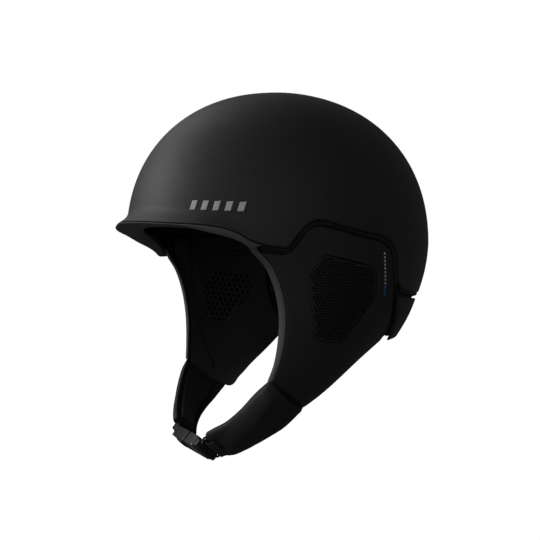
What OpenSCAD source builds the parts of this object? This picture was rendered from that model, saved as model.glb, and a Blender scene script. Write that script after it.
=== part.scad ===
/* [Shell] */
// Half width of the crown shell at its widest level
half_w = 102.8; // [100:0.1:106]
// Distance from the middle plane to the front of the dome
front_l = 120.5; // [119:0.1:122]
// Distance from the middle plane to the back of the dome
back_l = 126; // [124:0.1:127]
// Height of the dome above its widest level
dome_h = 115; // [112:0.5:119]
// Thickness of the moulded outer shell
skin_t = 3.4; // [3:0.1:3.6]
// Depth of the whole wall, from the outside to the lining
wall_t = 12.5; // [12:0.1:13]
// How far the front lip flares out
flare = 8.6; // [6:0.1:10]

/* [Side panels] */
// How far the side panels sit below the crown shell
recess = 2; // [1.6:0.1:2.4]
// Thickness of the perforated grille
grille_t = 1.6; // [1.2:0.1:2]
// Width across each hole in the grille
grille_hole = 2.2; // [1.6:0.1:2.6]
// Distance between hole centres in the grille
grille_pitch = 3.9; // [3.6:0.1:4.4]

/* [Chin strap] */
// Thickness of the padded sleeve
sleeve_t = 7.6; // [7:0.1:8]
// Width of the webbing
web_w = 15; // [13:0.5:15]
// Thickness of the webbing
web_t = 1.4; // [1.2:0.1:1.5]

/* [Buckle] */
// Length of the socket along the strap
socket_l = 21; // [20:0.5:22]
// Width of the buckle across the strap
buckle_w = 19; // [18.8:0.2:22]
// Thickness of the buckle
buckle_t = 8; // [7.8:0.1:9]
// How far the tongue goes into the socket
tongue_l = 6; // [5:0.5:6]
// Travel of the release button
button_travel = 1.5; // [1:0.1:1.6]

/* [Hidden] */

// Exponent of the dome's side profile, a little fuller than an ellipse
dome_n = 2.19;
// Depths at which the side and rear profiles would close below the widest level
jaw_depth = 134;
nape_depth = 130;
// Clear gap between neighbouring layers
gap = 0.5;

foam_d = skin_t + 0.9;            // outside of the foam
lining_t = 1.4;                   // thickness of the fabric lining
lining_d = wall_t - lining_t;     // outside of the lining
foam_in = lining_d - gap;         // inside of the foam

// ---- Curves and surfaces -------------------------------------------------

function mix(a, b, t) = a + (b - a) * t;
function ease(t) = let(c = min(max(t, 0), 1)) c * c * (3 - 2 * c);
function unit(v) = v / norm(v);

// Falls from 1 at t = 0 to 0 at t = 1 along a superellipse
function fall(t, n) = t <= 0 ? 1 : t >= 1 ? 0 : pow(1 - pow(t, n), 1 / n);

// Smooth curve through the points p, for t from 0 to 1
function spline(p, t) = let(
    n = len(p) - 1, s = min(max(t, 0), 0.999999) * n, i = floor(s), f = s - i,
    a = p[max(i - 1, 0)], b = p[i], c = p[i + 1], d = p[min(i + 2, n)])
    0.5 * (2 * b + (c - a) * f + (2 * a - 5 * b + 4 * c - d) * f * f
           + (3 * b - a - 3 * c + d) * f * f * f);

// Share of the full width left at height z and of the full rear length at height z
function wide(z, y) = z >= 0 ? fall(z / dome_h, dome_n)
    : fall(-z * (1 + 0.44 * ease((y + 35) / 95)) / jaw_depth, 2.8);
function back(z) = z >= 0 ? fall(z / dome_h, dome_n) : fall(-z / nape_depth, 1.6);

// Point of the dome at angle th from the front, height z, depth d below the outside
function dome(th, z, d) = let(
    s = sin(th), c = cos(th),
    y = c > 0 ? -(front_l - d) * (z > 0 ? fall(z / dome_h, dome_n) : 1) * c
              : -(back_l - d) * back(z) * c,
    pinch = c > 0 ? 0.05 * pow(sin(2 * th), 2) * c : 0)
    [(half_w - d) * wide(z, y) * s * (1 - pinch), y, z > 0 ? z * (dome_h - d) / dome_h : z];

// Height of the dome at angle a down from the top
function rise(a) = dome_h * sign(cos(a)) * pow(abs(cos(a)), 2 / dome_n);
function slope(z) = acos(sign(z) * pow(abs(z) / dome_h, dome_n / 2));

// Share of the full wall depth left at (y, z): cheeks thin towards the strap and the face opening
function thin(y, z) = let(
    low = mix(1, 0.44, ease((-18 - z) / 66)), edge = mix(0.52, 0.36, ease((-60 - z) / 30)),
    from_edge = y + 48.5 + 0.006 * pow(z + 60, 2))
    mix(min(low, edge), low, ease((from_edge - 3) / 24));

// Half width of the side panels at (y, z), depth d below their outside
function flank(y, z, d) = let(
    reach = y < 0 ? 86 + 0.006 * pow(z + 55, 2) : (back_l - recess) * back(z))
    (half_w - recess) * wide(z, y) * sqrt(max(0, 1 - pow(y / reach, 2))) - d * thin(y, z);
function side(yz, d) = [flank(yz[0], yz[1], d), yz[0], yz[1]];

// Four-sided patch between the curves top, bottom (left to right), left, right (top to bottom)
function coons(top, bottom, left, right, u, v) = let(
    t = spline(top, u), b = spline(bottom, u), l = spline(left, v), r = spline(right, v))
    mix(t, b, v) + mix(l, r, u)
    - mix(mix(top[0], top[len(top) - 1], u), mix(bottom[0], bottom[len(bottom) - 1], u), v);

// ---- Solids from grids ---------------------------------------------------

// The faces turned inside out if flip is true
function facing(faces, flip) = flip ? [for (f = faces) [for (k = [len(f) - 1:-1:0]) f[k]]] : faces;

// Closed solid between two grids of points with the same number of rows and columns
module sheet(outer, inner) {
    r = len(outer);
    c = len(outer[0]);
    n = r * c;
    function at(i, j) = i * c + j;
    cells = [for (i = [0:r - 2], j = [0:c - 2]) [i, j]];
    rim = concat([for (j = [0:c - 1]) at(0, j)], [for (i = [1:r - 1]) at(i, c - 1)],
                 [for (j = [c - 2:-1:0]) at(r - 1, j)], [for (i = [r - 2:-1:1]) at(i, 0)]);
    m = len(rim);
    out = cross(outer[1][0] - outer[0][0], outer[0][1] - outer[0][0]);
    polyhedron(
        points = concat([for (row = outer) each row], [for (row = inner) each row]),
        faces = facing(flip = out * (outer[0][0] - inner[0][0]) > 0, faces = concat(
            [for (q = cells) [at(q[0], q[1]), at(q[0] + 1, q[1]), at(q[0] + 1, q[1] + 1)]],
            [for (q = cells) [at(q[0], q[1]), at(q[0] + 1, q[1] + 1), at(q[0], q[1] + 1)]],
            [for (q = cells) [n + at(q[0], q[1]), n + at(q[0] + 1, q[1] + 1),
                              n + at(q[0] + 1, q[1])]],
            [for (q = cells) [n + at(q[0], q[1]), n + at(q[0], q[1] + 1),
                              n + at(q[0] + 1, q[1] + 1)]],
            [for (k = [0:m - 1]) let(k1 = (k + 1) % m) [rim[k], rim[k1], n + rim[k1]]],
            [for (k = [0:m - 1]) let(k1 = (k + 1) % m) [rim[k], n + rim[k1], n + rim[k]]])));
}

// Closed solid through a row of rings of points
module tube(rings) {
    c = len(rings[0]);
    r = len(rings);
    first = rings[0];
    area = [for (k = [1:c - 2]) 1]
        * [for (k = [1:c - 2]) cross(first[k] - first[0], first[k + 1] - first[0])];
    polyhedron(
        points = [for (ring = rings) each ring],
        faces = facing(flip = area * (rings[1][0] - first[0]) < 0, faces = concat(
            [for (i = [0:r - 2], j = [0:c - 1]) let(k = (j + 1) % c)
                [i * c + j, (i + 1) * c + k, i * c + k]],
            [for (i = [0:r - 2], j = [0:c - 1]) let(k = (j + 1) % c)
                [i * c + j, (i + 1) * c + j, (i + 1) * c + k]],
            [[for (j = [0:c - 1]) j]],
            [[for (j = [c - 1:-1:0]) (r - 1) * c + j]])));
}

module both(right) {
    if (right) mirror([1, 0, 0]) children();
    else children();
}

// ---- Outlines ------------------------------------------------------------

// Lower edge of the crown on the left: angle from the front and height
crown_edge = [[0, 13.6], [11, 12.6], [21, 11.1], [30, 9.6], [38, 8.3], [45, 6.1], [50.5, 2.1],
    [54, -2.6], [57.5, -5], [61.5, -6.7], [65.3, -7.2], [67.5, -2], [69.8, 4], [72.3, 8],
    [76, 10.1], [83, 6.6], [91, 3], [99, 0.2], [104, -5], [106.8, -14], [107.6, -24],
    [109.5, -32.5], [118, -38], [146, -42], [180, -43]];
seam_from = 8;    // place in crown_edge where the seam with the side panel starts
seam_to = 21;     // and where it ends

// Side panel outline as seen from the side, [y, z]
panel_top = [[-61, -9.9], [-55, -11], [-48.3, -11.6], [-44, -8.2], [-39.4, -1.5],
    [-34.5, 4.2], [-28, 6.2], [-15, 3.8], [1, -0.2], [17.5, -3.4], [27.2, -7.2], [31.6, -15]];
panel_rear = [[31.6, -15], [33, -25], [34.4, -35], [37, -46], [40.6, -57], [44, -67],
    [44.6, -75.6]];
panel_low = [[-49.8, -97.9], [-40, -105.4], [-30, -113], [-21, -119.8], [-13.5, -115.6],
    [-6.5, -111], [0.5, -106], [8, -100.6], [16, -94.9], [25, -88.6], [35, -82], [44.6, -75.6]];
face_line = [[-64.5, -9.9], [-57.5, -19], [-52.5, -31], [-49.5, -44], [-48.3, -57],
    [-48.8, -70], [-50.5, -83], [-53.2, -95]];
edge_t = 1.8;     // thickness of the moulded face edge
panel_front = [for (p = face_line) p + [edge_t + gap, 0]];

// Window for the grille and field of larger holes behind it, [y, z]
window = [[-26, -12.3], [11.6, -20.6], [14.7, -24.5], [15.5, -39], [-10.2, -71], [-30, -67],
    [-35.2, -25.6]];
ear_field = [[-14, -19], [13, -25], [15, -36], [-8, -64], [-23, -60], [-28, -32]];

// ---- Crown ---------------------------------------------------------------

crown_cols = 72;
crown_rows = 13;

// Flare of the front lip at angle th, at height up above the edge
function lip(th, up) = th > 56 ? 0
    : flare * (1 - pow(th / 56, 2)) * pow(max(0, 1 - up / 11), 2);

// Lower edge at angle a round the crown, for the shell and for the foam and lining inside
function shell_edge(a) = spline(crown_edge, a < 110 ? 0.875 * a / 110 : mix(0.875, 1, (a - 110) / 70));
function liner_edge(a) = [a, mix(18.6, 12.8, ease((a - 20) / 50))];

// Point in column j (around) and row i (down) of a dome layer at depth d
function layer_pt(shell, i, j, d) = let(
    a = 360 * j / crown_cols, left = a <= 180, half = left ? a : 360 - a,
    e = shell ? shell_edge(half) : liner_edge(half),
    v = 1 - pow(1 - i / crown_rows, 1.6),
    th = mix(half, e[0], v * v), z = rise(v * slope(e[1])),
    p = dome(th, z, d - (shell ? lip(th, z - e[1]) : 0)))
    [left ? p[0] : -p[0], p[1], p[2]];

// Dome layer between the depths d0 and d1, closed at the top and open below
module layer(shell, d0, d1) {
    rows = crown_rows;
    cols = crown_cols;
    grid = [for (d = [d0, d1], i = [1:rows], j = [0:cols - 1])
        layer_pt(shell, i, j, d)];
    n = rows * cols;
    function at(i, j) = i * cols + j % cols;
    polyhedron(
        points = concat(grid, [[0, 0, dome_h - d0], [0, 0, dome_h - d1]]),
        faces = concat(
            [for (j = [0:cols - 1]) [2 * n, at(0, j + 1), at(0, j)]],
            [for (j = [0:cols - 1]) [2 * n + 1, n + at(0, j), n + at(0, j + 1)]],
            [for (i = [0:rows - 2], j = [0:cols - 1])
                [at(i, j), at(i, j + 1), at(i + 1, j + 1)]],
            [for (i = [0:rows - 2], j = [0:cols - 1])
                [at(i, j), at(i + 1, j + 1), at(i + 1, j)]],
            [for (i = [0:rows - 2], j = [0:cols - 1])
                [n + at(i, j), n + at(i + 1, j + 1), n + at(i, j + 1)]],
            [for (i = [0:rows - 2], j = [0:cols - 1])
                [n + at(i, j), n + at(i + 1, j), n + at(i + 1, j + 1)]],
            [for (j = [0:cols - 1])
                [at(rows - 1, j), at(rows - 1, j + 1), n + at(rows - 1, j + 1)]],
            [for (j = [0:cols - 1])
                [at(rows - 1, j), n + at(rows - 1, j + 1), n + at(rows - 1, j)]]));
}

module crown_shell() { color("#2b2b2d") layer(true, 0, skin_t); }
module shock_liner() { color("#3a3a3d") layer(false, foam_d, foam_in); }
module crown_lining() { color("#151517") layer(false, lining_d, wall_t); }

// Foam behind the back of the head, from the crown down to the nape
module rear_liner() {
    function at(u, v, d) = let(half = abs(2 * u - 1))
        dome(mix(111.5, 248.5, u), mix(12.8 - gap, mix(-44.6, -40.6, pow(half, 2.2)), v), d);
    color("#3a3a3d") sheet(
        [for (i = [0:6]) [for (j = [0:20]) at(j / 20, i / 6, foam_d)]],
        [for (i = [0:6]) [for (j = [0:20]) at(j / 20, i / 6, wall_t)]]);
}

// Moulded rim under the front lip, from one temple to the other
module brim_edge() {
    last = 7.6;
    function section(k) = let(
        e = spline(crown_edge, abs(k) / (len(crown_edge) - 1)), th = e[0], z = e[1],
        f = lip(th, 0), s = k < 0 ? -1 : 1,
        low = mix(1.4, 5, ease((th - 28) / 18)) - 1.2 * ease((th - 53) / 4),
        in = mix(wall_t, 7, ease((th - 38) / 18)))
        [for (q = [[0.3 - f, z - 0.4], [-f, z - 0.4 - low / 3], [1.3 - f, z - low],
                   [in - 1.3, z - low], [in, z - low + 0.8], [in, z + 1.6], [foam_d, z + 1.6],
                   [foam_d, z - 0.4]])
            let(p = dome(th, q[1], q[0])) [s * p[0], p[1], p[2]]];
    color("#4a4a4d") tube([for (k = [-last:last / 14:last + 0.01]) section(k)]);
}

// Rubber patch let into the back of the crown
module rear_patch() {
    function at(u, v, d) = dome(mix(158, 202, u), mix(-6, -35, v), d);
    color("#101012") sheet(
        [for (i = [0:4]) [for (j = [0:8]) at(j / 8, i / 4, -1.1)]],
        [for (i = [0:4]) [for (j = [0:8]) at(j / 8, i / 4, -0.3)]]);
}

// Raised bars on the left of the front, without lettering
module front_badge() {
    bars = 5;
    function at(k, u, v, d) = let(th = 32 + 4.4 * k + 3 * u + 1.2 * v, z = mix(25.6, 18, v) - 0.5 * k)
        dome(th, z, d - lip(th, z - lookup(th, crown_edge)));
    color("#a8a8aa") for (k = [0:bars - 1]) sheet(
        [for (i = [0:1]) [for (j = [0:1]) at(k, j, i, -0.7)]],
        [for (i = [0:1]) [for (j = [0:1]) at(k, j, i, -0.25)]]);
}

// ---- Side panels ---------------------------------------------------------

function panel_yz(u, v) = coons(panel_top, panel_low, panel_front, panel_rear, u, v);

// Foam and lining reach up behind the crown's edge
foam_top = [[-58, 4], [-50, 9.4], [-36, 10.8], [-20, 10.8], [0, 10.8], [18, 10.8], [36, 10.6]];
foam_rear = [[36, 10.6], [36.2, -8], [36, -25], [36.4, -40], [39, -56], [41.6, -66], [43, -74.6]];
foam_low = [[-49.3, -97.4], [-35, -108.4], [-21.5, -118.6], [-9, -111.6], [5, -101.6],
    [23, -89], [43, -74.6]];
foam_front = [[-58, 4], [-57.6, -9], [-53.5, -20], [-48.7, -32], [-45.6, -46], [-44.6, -60],
    [-45.6, -76], [-49.3, -97.4]];
function foam_yz(u, v) = coons(foam_top, foam_low, foam_front, foam_rear, u, v);

// Prism through the side of the helmet with the given outline, from x = x0 to x1
module through(outline, x0, x1) {
    translate([x0, 0, 0]) rotate([90, 0, 90]) linear_extrude(x1 - x0) polygon(outline);
}

// The outline moved outwards from its middle by the distance w
function grow(outline, w) = let(
    n = len(outline), c = [for (p = outline) 1] * outline / n)
    [for (p = outline) p + w * unit(p - c)];

module side_panel() {
    difference() {
        sheet([for (i = [0:10]) [for (j = [0:22]) side(panel_yz(j / 22, i / 10), 0)]],
              [for (i = [0:10]) [for (j = [0:22]) side(panel_yz(j / 22, i / 10), skin_t)]]);
        through(grow(window, 0.8), 70, 110);
    }
}

module cheek_foam() {
    difference() {
        sheet([for (i = [0:9]) [for (j = [0:18]) side(foam_yz(j / 18, i / 9), foam_d)]],
              [for (i = [0:9]) [for (j = [0:18]) side(foam_yz(j / 18, i / 9), foam_in)]]);
        through(grow(window, 2), 70, 110);
    }
}

module cheek_lining() {
    difference() {
        sheet([for (i = [0:9]) [for (j = [0:18]) side(foam_yz(j / 18, i / 9), lining_d)]],
              [for (i = [0:9]) [for (j = [0:18]) side(foam_yz(j / 18, i / 9), wall_t)]]);
        through(grow(ear_field, 2), 60, 110);
    }
}

// Moulded edge round the face opening, down to the strap
module face_edge() {
    function section(t) = let(p = spline(face_line, t))
        [for (q = [[0.2, 0.8], [1.2, 0], [wall_t - 1.2, 0], [wall_t, 0.9], [wall_t, edge_t],
                   [0.2, edge_t]])
            side(p, q[0]) + [0, q[1], 0]];
    tube([for (k = [0:18]) section(k / 18)]);
}

// Lies flat against the side of the helmet at the ear
module at_ear(x) { translate([x, 0, 0]) rotate([0, 8, -6.8]) rotate([90, 0, 90]) children(); }

// Hexagonal grid of points over the ear, pitch apart
function ear_grid(outline, pitch, edge) = [for (i = [-14:14], j = [-18:18])
    let(p = [-8 + pitch * (i + (abs(j) % 2) / 2), -40 + pitch * 0.866 * j])
    if (inside(outline, p, edge)) p];
// True if p is inside the convex outline by at least the distance w
function inside(outline, p, w) = let(n = len(outline))
    min([for (k = [0:n - 1]) let(a = outline[k], b = outline[(k + 1) % n], e = unit(b - a), q = p - a)
        q[0] * e[1] - q[1] * e[0]]) > w;

module ear_grille() {
    at_ear(100.5 - grille_t) linear_extrude(grille_t) difference() {
        polygon(window);
        for (p = ear_grid(window, grille_pitch, 3)) translate(p) circle(d = grille_hole, $fn = 6);
    }
}

module ear_pad() {
    at_ear(91.6) linear_extrude(5.6) difference() {
        polygon(ear_field);
        for (p = ear_grid(ear_field, 5.3, 2.6)) translate(p) circle(d = 3, $fn = 6);
    }
}

// Stretch fabric at the bottom of the channel between the crown and a side panel
module seam_band() {
    seam_low = concat(panel_top, [panel_rear[1], panel_rear[2]]);
    function corner(s, d) = let(
        e = spline(crown_edge, mix(seam_from, seam_to, s) / (len(crown_edge) - 1)))
        [dome(e[0], e[1], d + 2.1), side(spline(seam_low, s), d - 0.4)];
    function at(s, t, d) = let(c = corner(s, d)) mix(c[0], c[1], t);
    sheet(
        [for (t = [0.2, 0.8]) [for (k = [0:47]) at(k / 47, t, 1.2)]],
        [for (t = [0.2, 0.8]) [for (k = [0:47]) at(k / 47, t, 2.4)]]);
}

// Stretch fabric between the crown and the nape panel
module rear_seam_band() {
    function at(u, v, d) = let(
        half = abs(2 * u - 1), e = spline(crown_edge, mix(24, 21.6, half) / 24),
        p = dome(e[0], e[1] - mix(0.5, 2.6, v), d))
        [u < 0.5 ? p[0] : -p[0], p[1], p[2]];
    color("#1b1b1d") sheet(
        [for (v = [0, 1]) [for (k = [0:30]) at(k / 30, v, 1.6)]],
        [for (v = [0, 1]) [for (k = [0:30]) at(k / 30, v, 2.8)]]);
}

// Row of short dashes down the left side, grey and then blue
module left_side_mark() {
    dashes = 12;
    function yz(k) = [mix(22.8, 24.8, k / (dashes - 1)), mix(-11, -39, k / (dashes - 1))];
    for (k = [0:dashes - 1]) color(k < 9 ? "#9a9a9c" : "#2f7fc4") sheet(
        [for (i = [0:1]) [for (j = [0:1]) side(yz(k) + [1.5 * j - 0.8, -1.2 * i], -0.5)]],
        [for (i = [0:1]) [for (j = [0:1]) side(yz(k) + [1.5 * j - 0.8, -1.2 * i], -0.15)]]);
}

// ---- Pads inside ---------------------------------------------------------

module front_pad() {
    function at(u, v, d) = dome(mix(-38, 38, u), mix(46, 21, v), d);
    color("#1d1d20") sheet(
        [for (i = [0:3]) [for (j = [0:12]) at(j / 12, i / 3, wall_t + gap)]],
        [for (i = [0:3]) [for (j = [0:12]) at(j / 12, i / 3, wall_t + 7)]]);
}

// Two padded ribs above the ear
module temple_pad() {
    function at(y, z, d) = side([y, z], wall_t + d);
    for (z = [-2.4, -7]) tube([for (j = [0:8]) let(y = mix(-26, 27, j / 8))
        [at(y, z - 0.3, 0.4), at(y, z, 1.4), at(y, z - 1, 2.6),
         at(y, z - 2.6, 2.6), at(y, z - 3.6, 1.4), at(y, z - 3.3, 0.4)]]);
}

// ---- Nape ----------------------------------------------------------------

// Outline of the nape panel: angle and height
function nape_pt(u, v, d) = let(
    half = abs(2 * u - 1), top = -47.4 + 5.6 * pow(half, 2.2), low = -77 + 2 * half,
    z = mix(top, low, v), th = mix(180, mix(112.4, 122.5, v), half), p = dome(th, z, d - 3.4 * v))
    [u < 0.5 ? -p[0] : p[0], p[1], p[2]];

module nape_panel() {
    color("#2b2b2d") sheet(
        [for (i = [0:5]) [for (j = [0:24]) nape_pt(j / 24, i / 5, 0)]],
        [for (i = [0:5]) [for (j = [0:24]) nape_pt(j / 24, i / 5, skin_t)]]);
}

module nape_pad() {
    function at(u, v, d) = nape_pt(mix(0.03, 0.97, u), mix(0.04, 0.94, v), d);
    color("#1d1d20") sheet(
        [for (i = [0:4]) [for (j = [0:20]) at(j / 20, i / 4, foam_d)]],
        [for (i = [0:4]) [for (j = [0:20]) at(j / 20, i / 4, wall_t)]]);
}

// ---- Chin strap ----------------------------------------------------------

// Front and rear edges of the strap, from the side panel to the buckle
strap_front = [[67.9, -53.2, -95.6], [61.5, -59.8, -103.6], [54.2, -66.8, -114.2],
    [45, -73.2, -123.4], [35, -78.3, -129.4], [26, -81.7, -134.4], [18, -84.4, -137.4]];
strap_rear = [[58.4, -20.6, -120.6], [56.6, -33.4, -129.2], [52.6, -43.6, -135.2],
    [46.4, -52.4, -141.2], [37.2, -59.6, -146.6], [27.2, -64.4, -151.2], [18, -67.2, -154]];
strap_bow = 7;        // how far the top of the strap bows outwards, to follow the cheek
sleeve_from = 0.01;   // where the sleeve starts and ends along the strap
sleeve_to = 0.8;

// Middle, edge direction and inward direction of the strap at t
function strap_at(t) = let(
    a = spline(strap_front, t), b = spline(strap_rear, t),
    a1 = spline(strap_front, t + 0.02), b1 = spline(strap_rear, t + 0.02),
    a0 = spline(strap_front, t - 0.02), b0 = spline(strap_rear, t - 0.02),
    w = unit(a - b), along = unit((a1 + b1) - (a0 + b0)),
    n = unit(cross(along, w)))
    [(a + b) / 2, w, n, norm(a - b) / 2];

// Ring of points round the strap at t: half width less rim, from depth d0 to d1 inward
function strap_ring(t, rim, d0, d1, steps = 12) = let(s = strap_at(t), hw = s[3] - rim)
    [for (k = [0:steps - 1]) let(
        a = 360 * k / steps, c = cos(a), q = sin(a),
        x = hw * sign(c) * pow(abs(c), 0.7), y = (d1 - d0) / 2 * sign(q) * pow(abs(q), 0.8),
        bow = strap_bow * pow(1 - t, 2) * (1 - pow(x / s[3], 2)))
        s[0] + s[1] * x + s[2] * ((d0 + d1) / 2 + y - bow)];

module strap_sleeve() {
    half_t = sleeve_t / 2;
    wall = 2.2;
    function along(k) = mix(sleeve_from, sleeve_to, k / 14);
    outer = [for (k = [0:14]) strap_ring(along(k), 0, -half_t, half_t)];
    inner = [for (k = [0:14]) strap_ring(along(k), wall, wall - half_t, half_t - wall)];
    difference() {
        tube(outer);
        tube(concat([[for (p = inner[0]) p + (inner[0][0] - inner[1][0])]], inner,
                    [[for (p = inner[14]) p + (inner[14][0] - inner[13][0])]]));
    }
}

module strap_lining() {
    d0 = sleeve_t / 2 + 0.3;
    tube([for (k = [0:12]) strap_ring(mix(0.06, 0.74, k / 12), 4.2, d0, d0 + 1.2)]);
}

// Flat band along the strap from t0 to t1, lifted by lift0 along the sleeve and lift1 beyond it
module band(t0, t1, lift0, lift1, half, thick) {
    function ring(t) = let(
        s = strap_at(t), q = thick / 2, lift = mix(lift0, lift1, ease((t - sleeve_to) / 0.075)),
        mid = s[0] - s[2] * (lift + strap_bow * pow(1 - t, 2)))
        [for (c = [[half, -q], [half, q], [-half, q], [-half, -q]]) mid + s[1] * c[0] + s[2] * c[1]];
    tube([for (k = [0:14]) ring(mix(t0, t1, k / 14))]);
}

// Webbing inside the sleeve, out to the buckle and round its bar
module webbing(to, x, z) {
    band(0.3, to, 0, 0, web_w / 2, web_t);
    in_buckle() web_loop(x, z);
}

// ---- Buckle --------------------------------------------------------------

// Middle of the closed buckle, and how far it leans back under the chin
buckle_at = [0, -76.8, -147];
buckle_lean = 136;
joint_gap = 0.6;      // gap between the socket and the tongue's shoulder
bar_r = 1.7;          // radius of the bar that each webbing goes round
cheek_t = 1.6;        // thickness of the cheeks that hold the bar
cheek_l = 5.8;        // how far the cheeks stand out past the body
tongue_w = 12;
tongue_t = 3.2;
slot_clear = 0.8;     // room round the tongue in the socket
tongue_body = 15.5;   // outer end of the tongue piece's body
socket_bar = -2.37;   // heights of the two bars
tongue_bar = 0.52;

// In the buckle: X across the face, Y towards the front edge, Z outwards
module in_buckle() { translate(buckle_at) rotate([buckle_lean, 0, 0]) children(); }

// Rectangle with rounded corners from x0 to x1, w wide
module rounded(x0, x1, w, r) {
    translate([x0 + r, -w / 2]) square([x1 - x0 - 2 * r, w]);
    translate([x0, r - w / 2]) square([x1 - x0, w - 2 * r]);
    for (x = [x0 + r, x1 - r], y = [r - w / 2, w / 2 - r]) translate([x, y]) circle(r, $fn = 32);
}

// Box between two x values, y values and heights
module block(x, y, z) {
    translate([x[0], y[0], z[0]]) cube([x[1] - x[0], y[1] - y[0], z[1] - z[0]]);
}

// Two cheeks with a bar between them, at the outer end x of a buckle half, bar at height z
module web_bar(x, z) {
    for (y = [-buckle_w / 2, buckle_w / 2 - cheek_t])
        block([x - 0.4, x + cheek_l], [y, y + cheek_t], [z - 2.6, z + 2.6]);
    along_bar(x, z, buckle_w - 0.8) circle(bar_r, $fn = 48);
}

// Runs along the bar of a buckle half that ends at x, w wide
module along_bar(x, z, w) {
    translate([x + cheek_l - bar_r - 0.2, w / 2, z]) rotate([90, 0, 0]) linear_extrude(w)
        children();
}

// Loop of webbing round the bar
module web_loop(x, z) {
    along_bar(x, z, web_w) difference() {
        circle(bar_r + 0.15 + web_t, $fn = 48);
        circle(bar_r + 0.15, $fn = 48);
    }
}

button_x = [-20, -11];
button_y = [-4.8, 4.8];
button_z = [1.4, 4.7]; // underside of the button and its face
coil_room = 2.1;      // height of the spring with the button pressed right in
pocket_z = button_z[0] - button_travel - coil_room; // floor of the pocket
fit = 0.3;            // room round the button in its pocket
magnet_x = [-9.8, -7.8];
magnet_y = [-4.5, 4.5];
magnet_h = 1.9;       // half height of the socket's magnet

module buckle_socket() {
    deep = tongue_l + 1.2;
    color("#3c3c3f") in_buckle() {
        difference() {
            translate([0, 0, -buckle_t / 2]) linear_extrude(buckle_t)
                rounded(-socket_l - 1, 0, buckle_w, 2.4);
            block([-deep, 1], [-1, 1] * (tongue_w / 2 + slot_clear),
                  [-1, 1] * (tongue_t / 2 + slot_clear));
            block(button_x + [-fit, fit], button_y + [-fit, fit], [pocket_z, buckle_t]);
            block(magnet_x + [-0.1, 0.1], magnet_y + [-0.1, 0.1], [-1, 1] * (magnet_h + 0.1));
        }
        mirror([1, 0, 0]) web_bar(socket_l + 1, socket_bar);
    }
}

module socket_magnet() {
    color("#b9bcc0") in_buckle() block(magnet_x, magnet_y, [-1, 1] * magnet_h);
}

// Middle of the button along the buckle
button_mid = (button_x[0] + button_x[1]) / 2;

module release_button() {
    color("#5a5a5e") in_buckle() {
        block(button_x, button_y, button_z);
        for (k = [-1:1]) block([-0.5, 0.5] + [1, 1] * (button_mid + 2.4 * k), [-3.6, 3.6],
                               [button_z[1] - 0.2, button_z[1] + 0.4]);
    }
}

module button_spring() {
    turns = 3.5;
    wire = 0.3;
    coil_r = 2.4;
    z0 = pocket_z + wire + 0.05;
    z1 = button_z[0] - wire - 0.05;
    function ring(t) = let(a = 360 * turns * t)
        [for (k = [0:5]) let(b = 60 * k, q = coil_r + wire * cos(b))
            [button_mid + q * cos(a), q * sin(a), mix(z0, z1, t) + wire * sin(b)]];
    color("#b9bcc0") in_buckle() tube([for (k = [0:42]) ring(k / 42)]);
}

module buckle_tongue() {
    color("#4b4b4e") in_buckle() difference() {
        union() {
            translate([0, 0, -buckle_t / 2]) linear_extrude(buckle_t)
                rounded(joint_gap, tongue_body, buckle_w, 2.4);
            translate([0, 0, -tongue_t / 2]) linear_extrude(tongue_t)
                rounded(-tongue_l, joint_gap + 4, tongue_w, 1.6);
            web_bar(tongue_body, tongue_bar);
        }
        block([-5.3, -2.3], [-4.1, 4.1], [-0.9, 0.9]);
    }
}

module tongue_magnet() {
    color("#b9bcc0") in_buckle() block([-5.2, -2.4], [-4, 4], [-0.8, 0.8]);
}

// Spare end of the webbing, doubled back over the outside of the strap
module strap_tail() { color("#161618") band(0.7, 0.92, 5.2, 1.9, web_w / 2, web_t); }

// Rubber loop that holds the spare end down
module tail_keeper() {
    mid = 0.885;
    s = strap_at(mid);
    along = cross(s[1], s[2]);
    function box(half, out, in, l) = [for (k = [-1, 1])
        [for (c = [[half, -out], [half, in], [-half, in], [-half, -out]])
            s[0] - s[2] * strap_bow * pow(1 - mid, 2)
            + s[1] * c[0] + s[2] * c[1] + along * k * l / 2]];
    clear_w = web_w / 2 + 0.3;
    color("#0f0f11") difference() {
        tube(box(clear_w + 1.3, 4.7, 2.3, 2.6));
        tube(box(clear_w, 3.4, 1.1, 4));
    }
}

// ---- Left and right pieces -----------------------------------------------

module left_side_panel() { color("#262628") both(false) side_panel(); }
module right_side_panel() { color("#262628") both(true) side_panel(); }
module left_face_edge() { color("#4c4c4f") both(false) face_edge(); }
module right_face_edge() { color("#4c4c4f") both(true) face_edge(); }
module left_cheek_foam() { color("#3a3a3d") both(false) cheek_foam(); }
module right_cheek_foam() { color("#3a3a3d") both(true) cheek_foam(); }
module left_cheek_lining() { color("#1a1a1c") both(false) cheek_lining(); }
module right_cheek_lining() { color("#1a1a1c") both(true) cheek_lining(); }
module left_ear_grille() { color("#19191b") both(false) ear_grille(); }
module right_ear_grille() { color("#19191b") both(true) ear_grille(); }
module left_ear_pad() { color("#242427") both(false) ear_pad(); }
module right_ear_pad() { color("#242427") both(true) ear_pad(); }
module left_seam_band() { color("#1b1b1d") both(false) seam_band(); }
module right_seam_band() { color("#1b1b1d") both(true) seam_band(); }
module left_temple_pad() { color("#1d1d20") both(false) temple_pad(); }
module right_temple_pad() { color("#1d1d20") both(true) temple_pad(); }
module left_strap_sleeve() { color("#1c1c1f") both(false) strap_sleeve(); }
module right_strap_sleeve() { color("#1c1c1f") both(true) strap_sleeve(); }
module left_strap_lining() { color("#26262a") both(false) strap_lining(); }
module right_strap_lining() { color("#26262a") both(true) strap_lining(); }
module left_webbing() { color("#161618") both(false) webbing(0.962, tongue_body, tongue_bar); }
module right_webbing() { color("#161618") both(true) webbing(0.853, socket_l + 1, socket_bar); }

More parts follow.
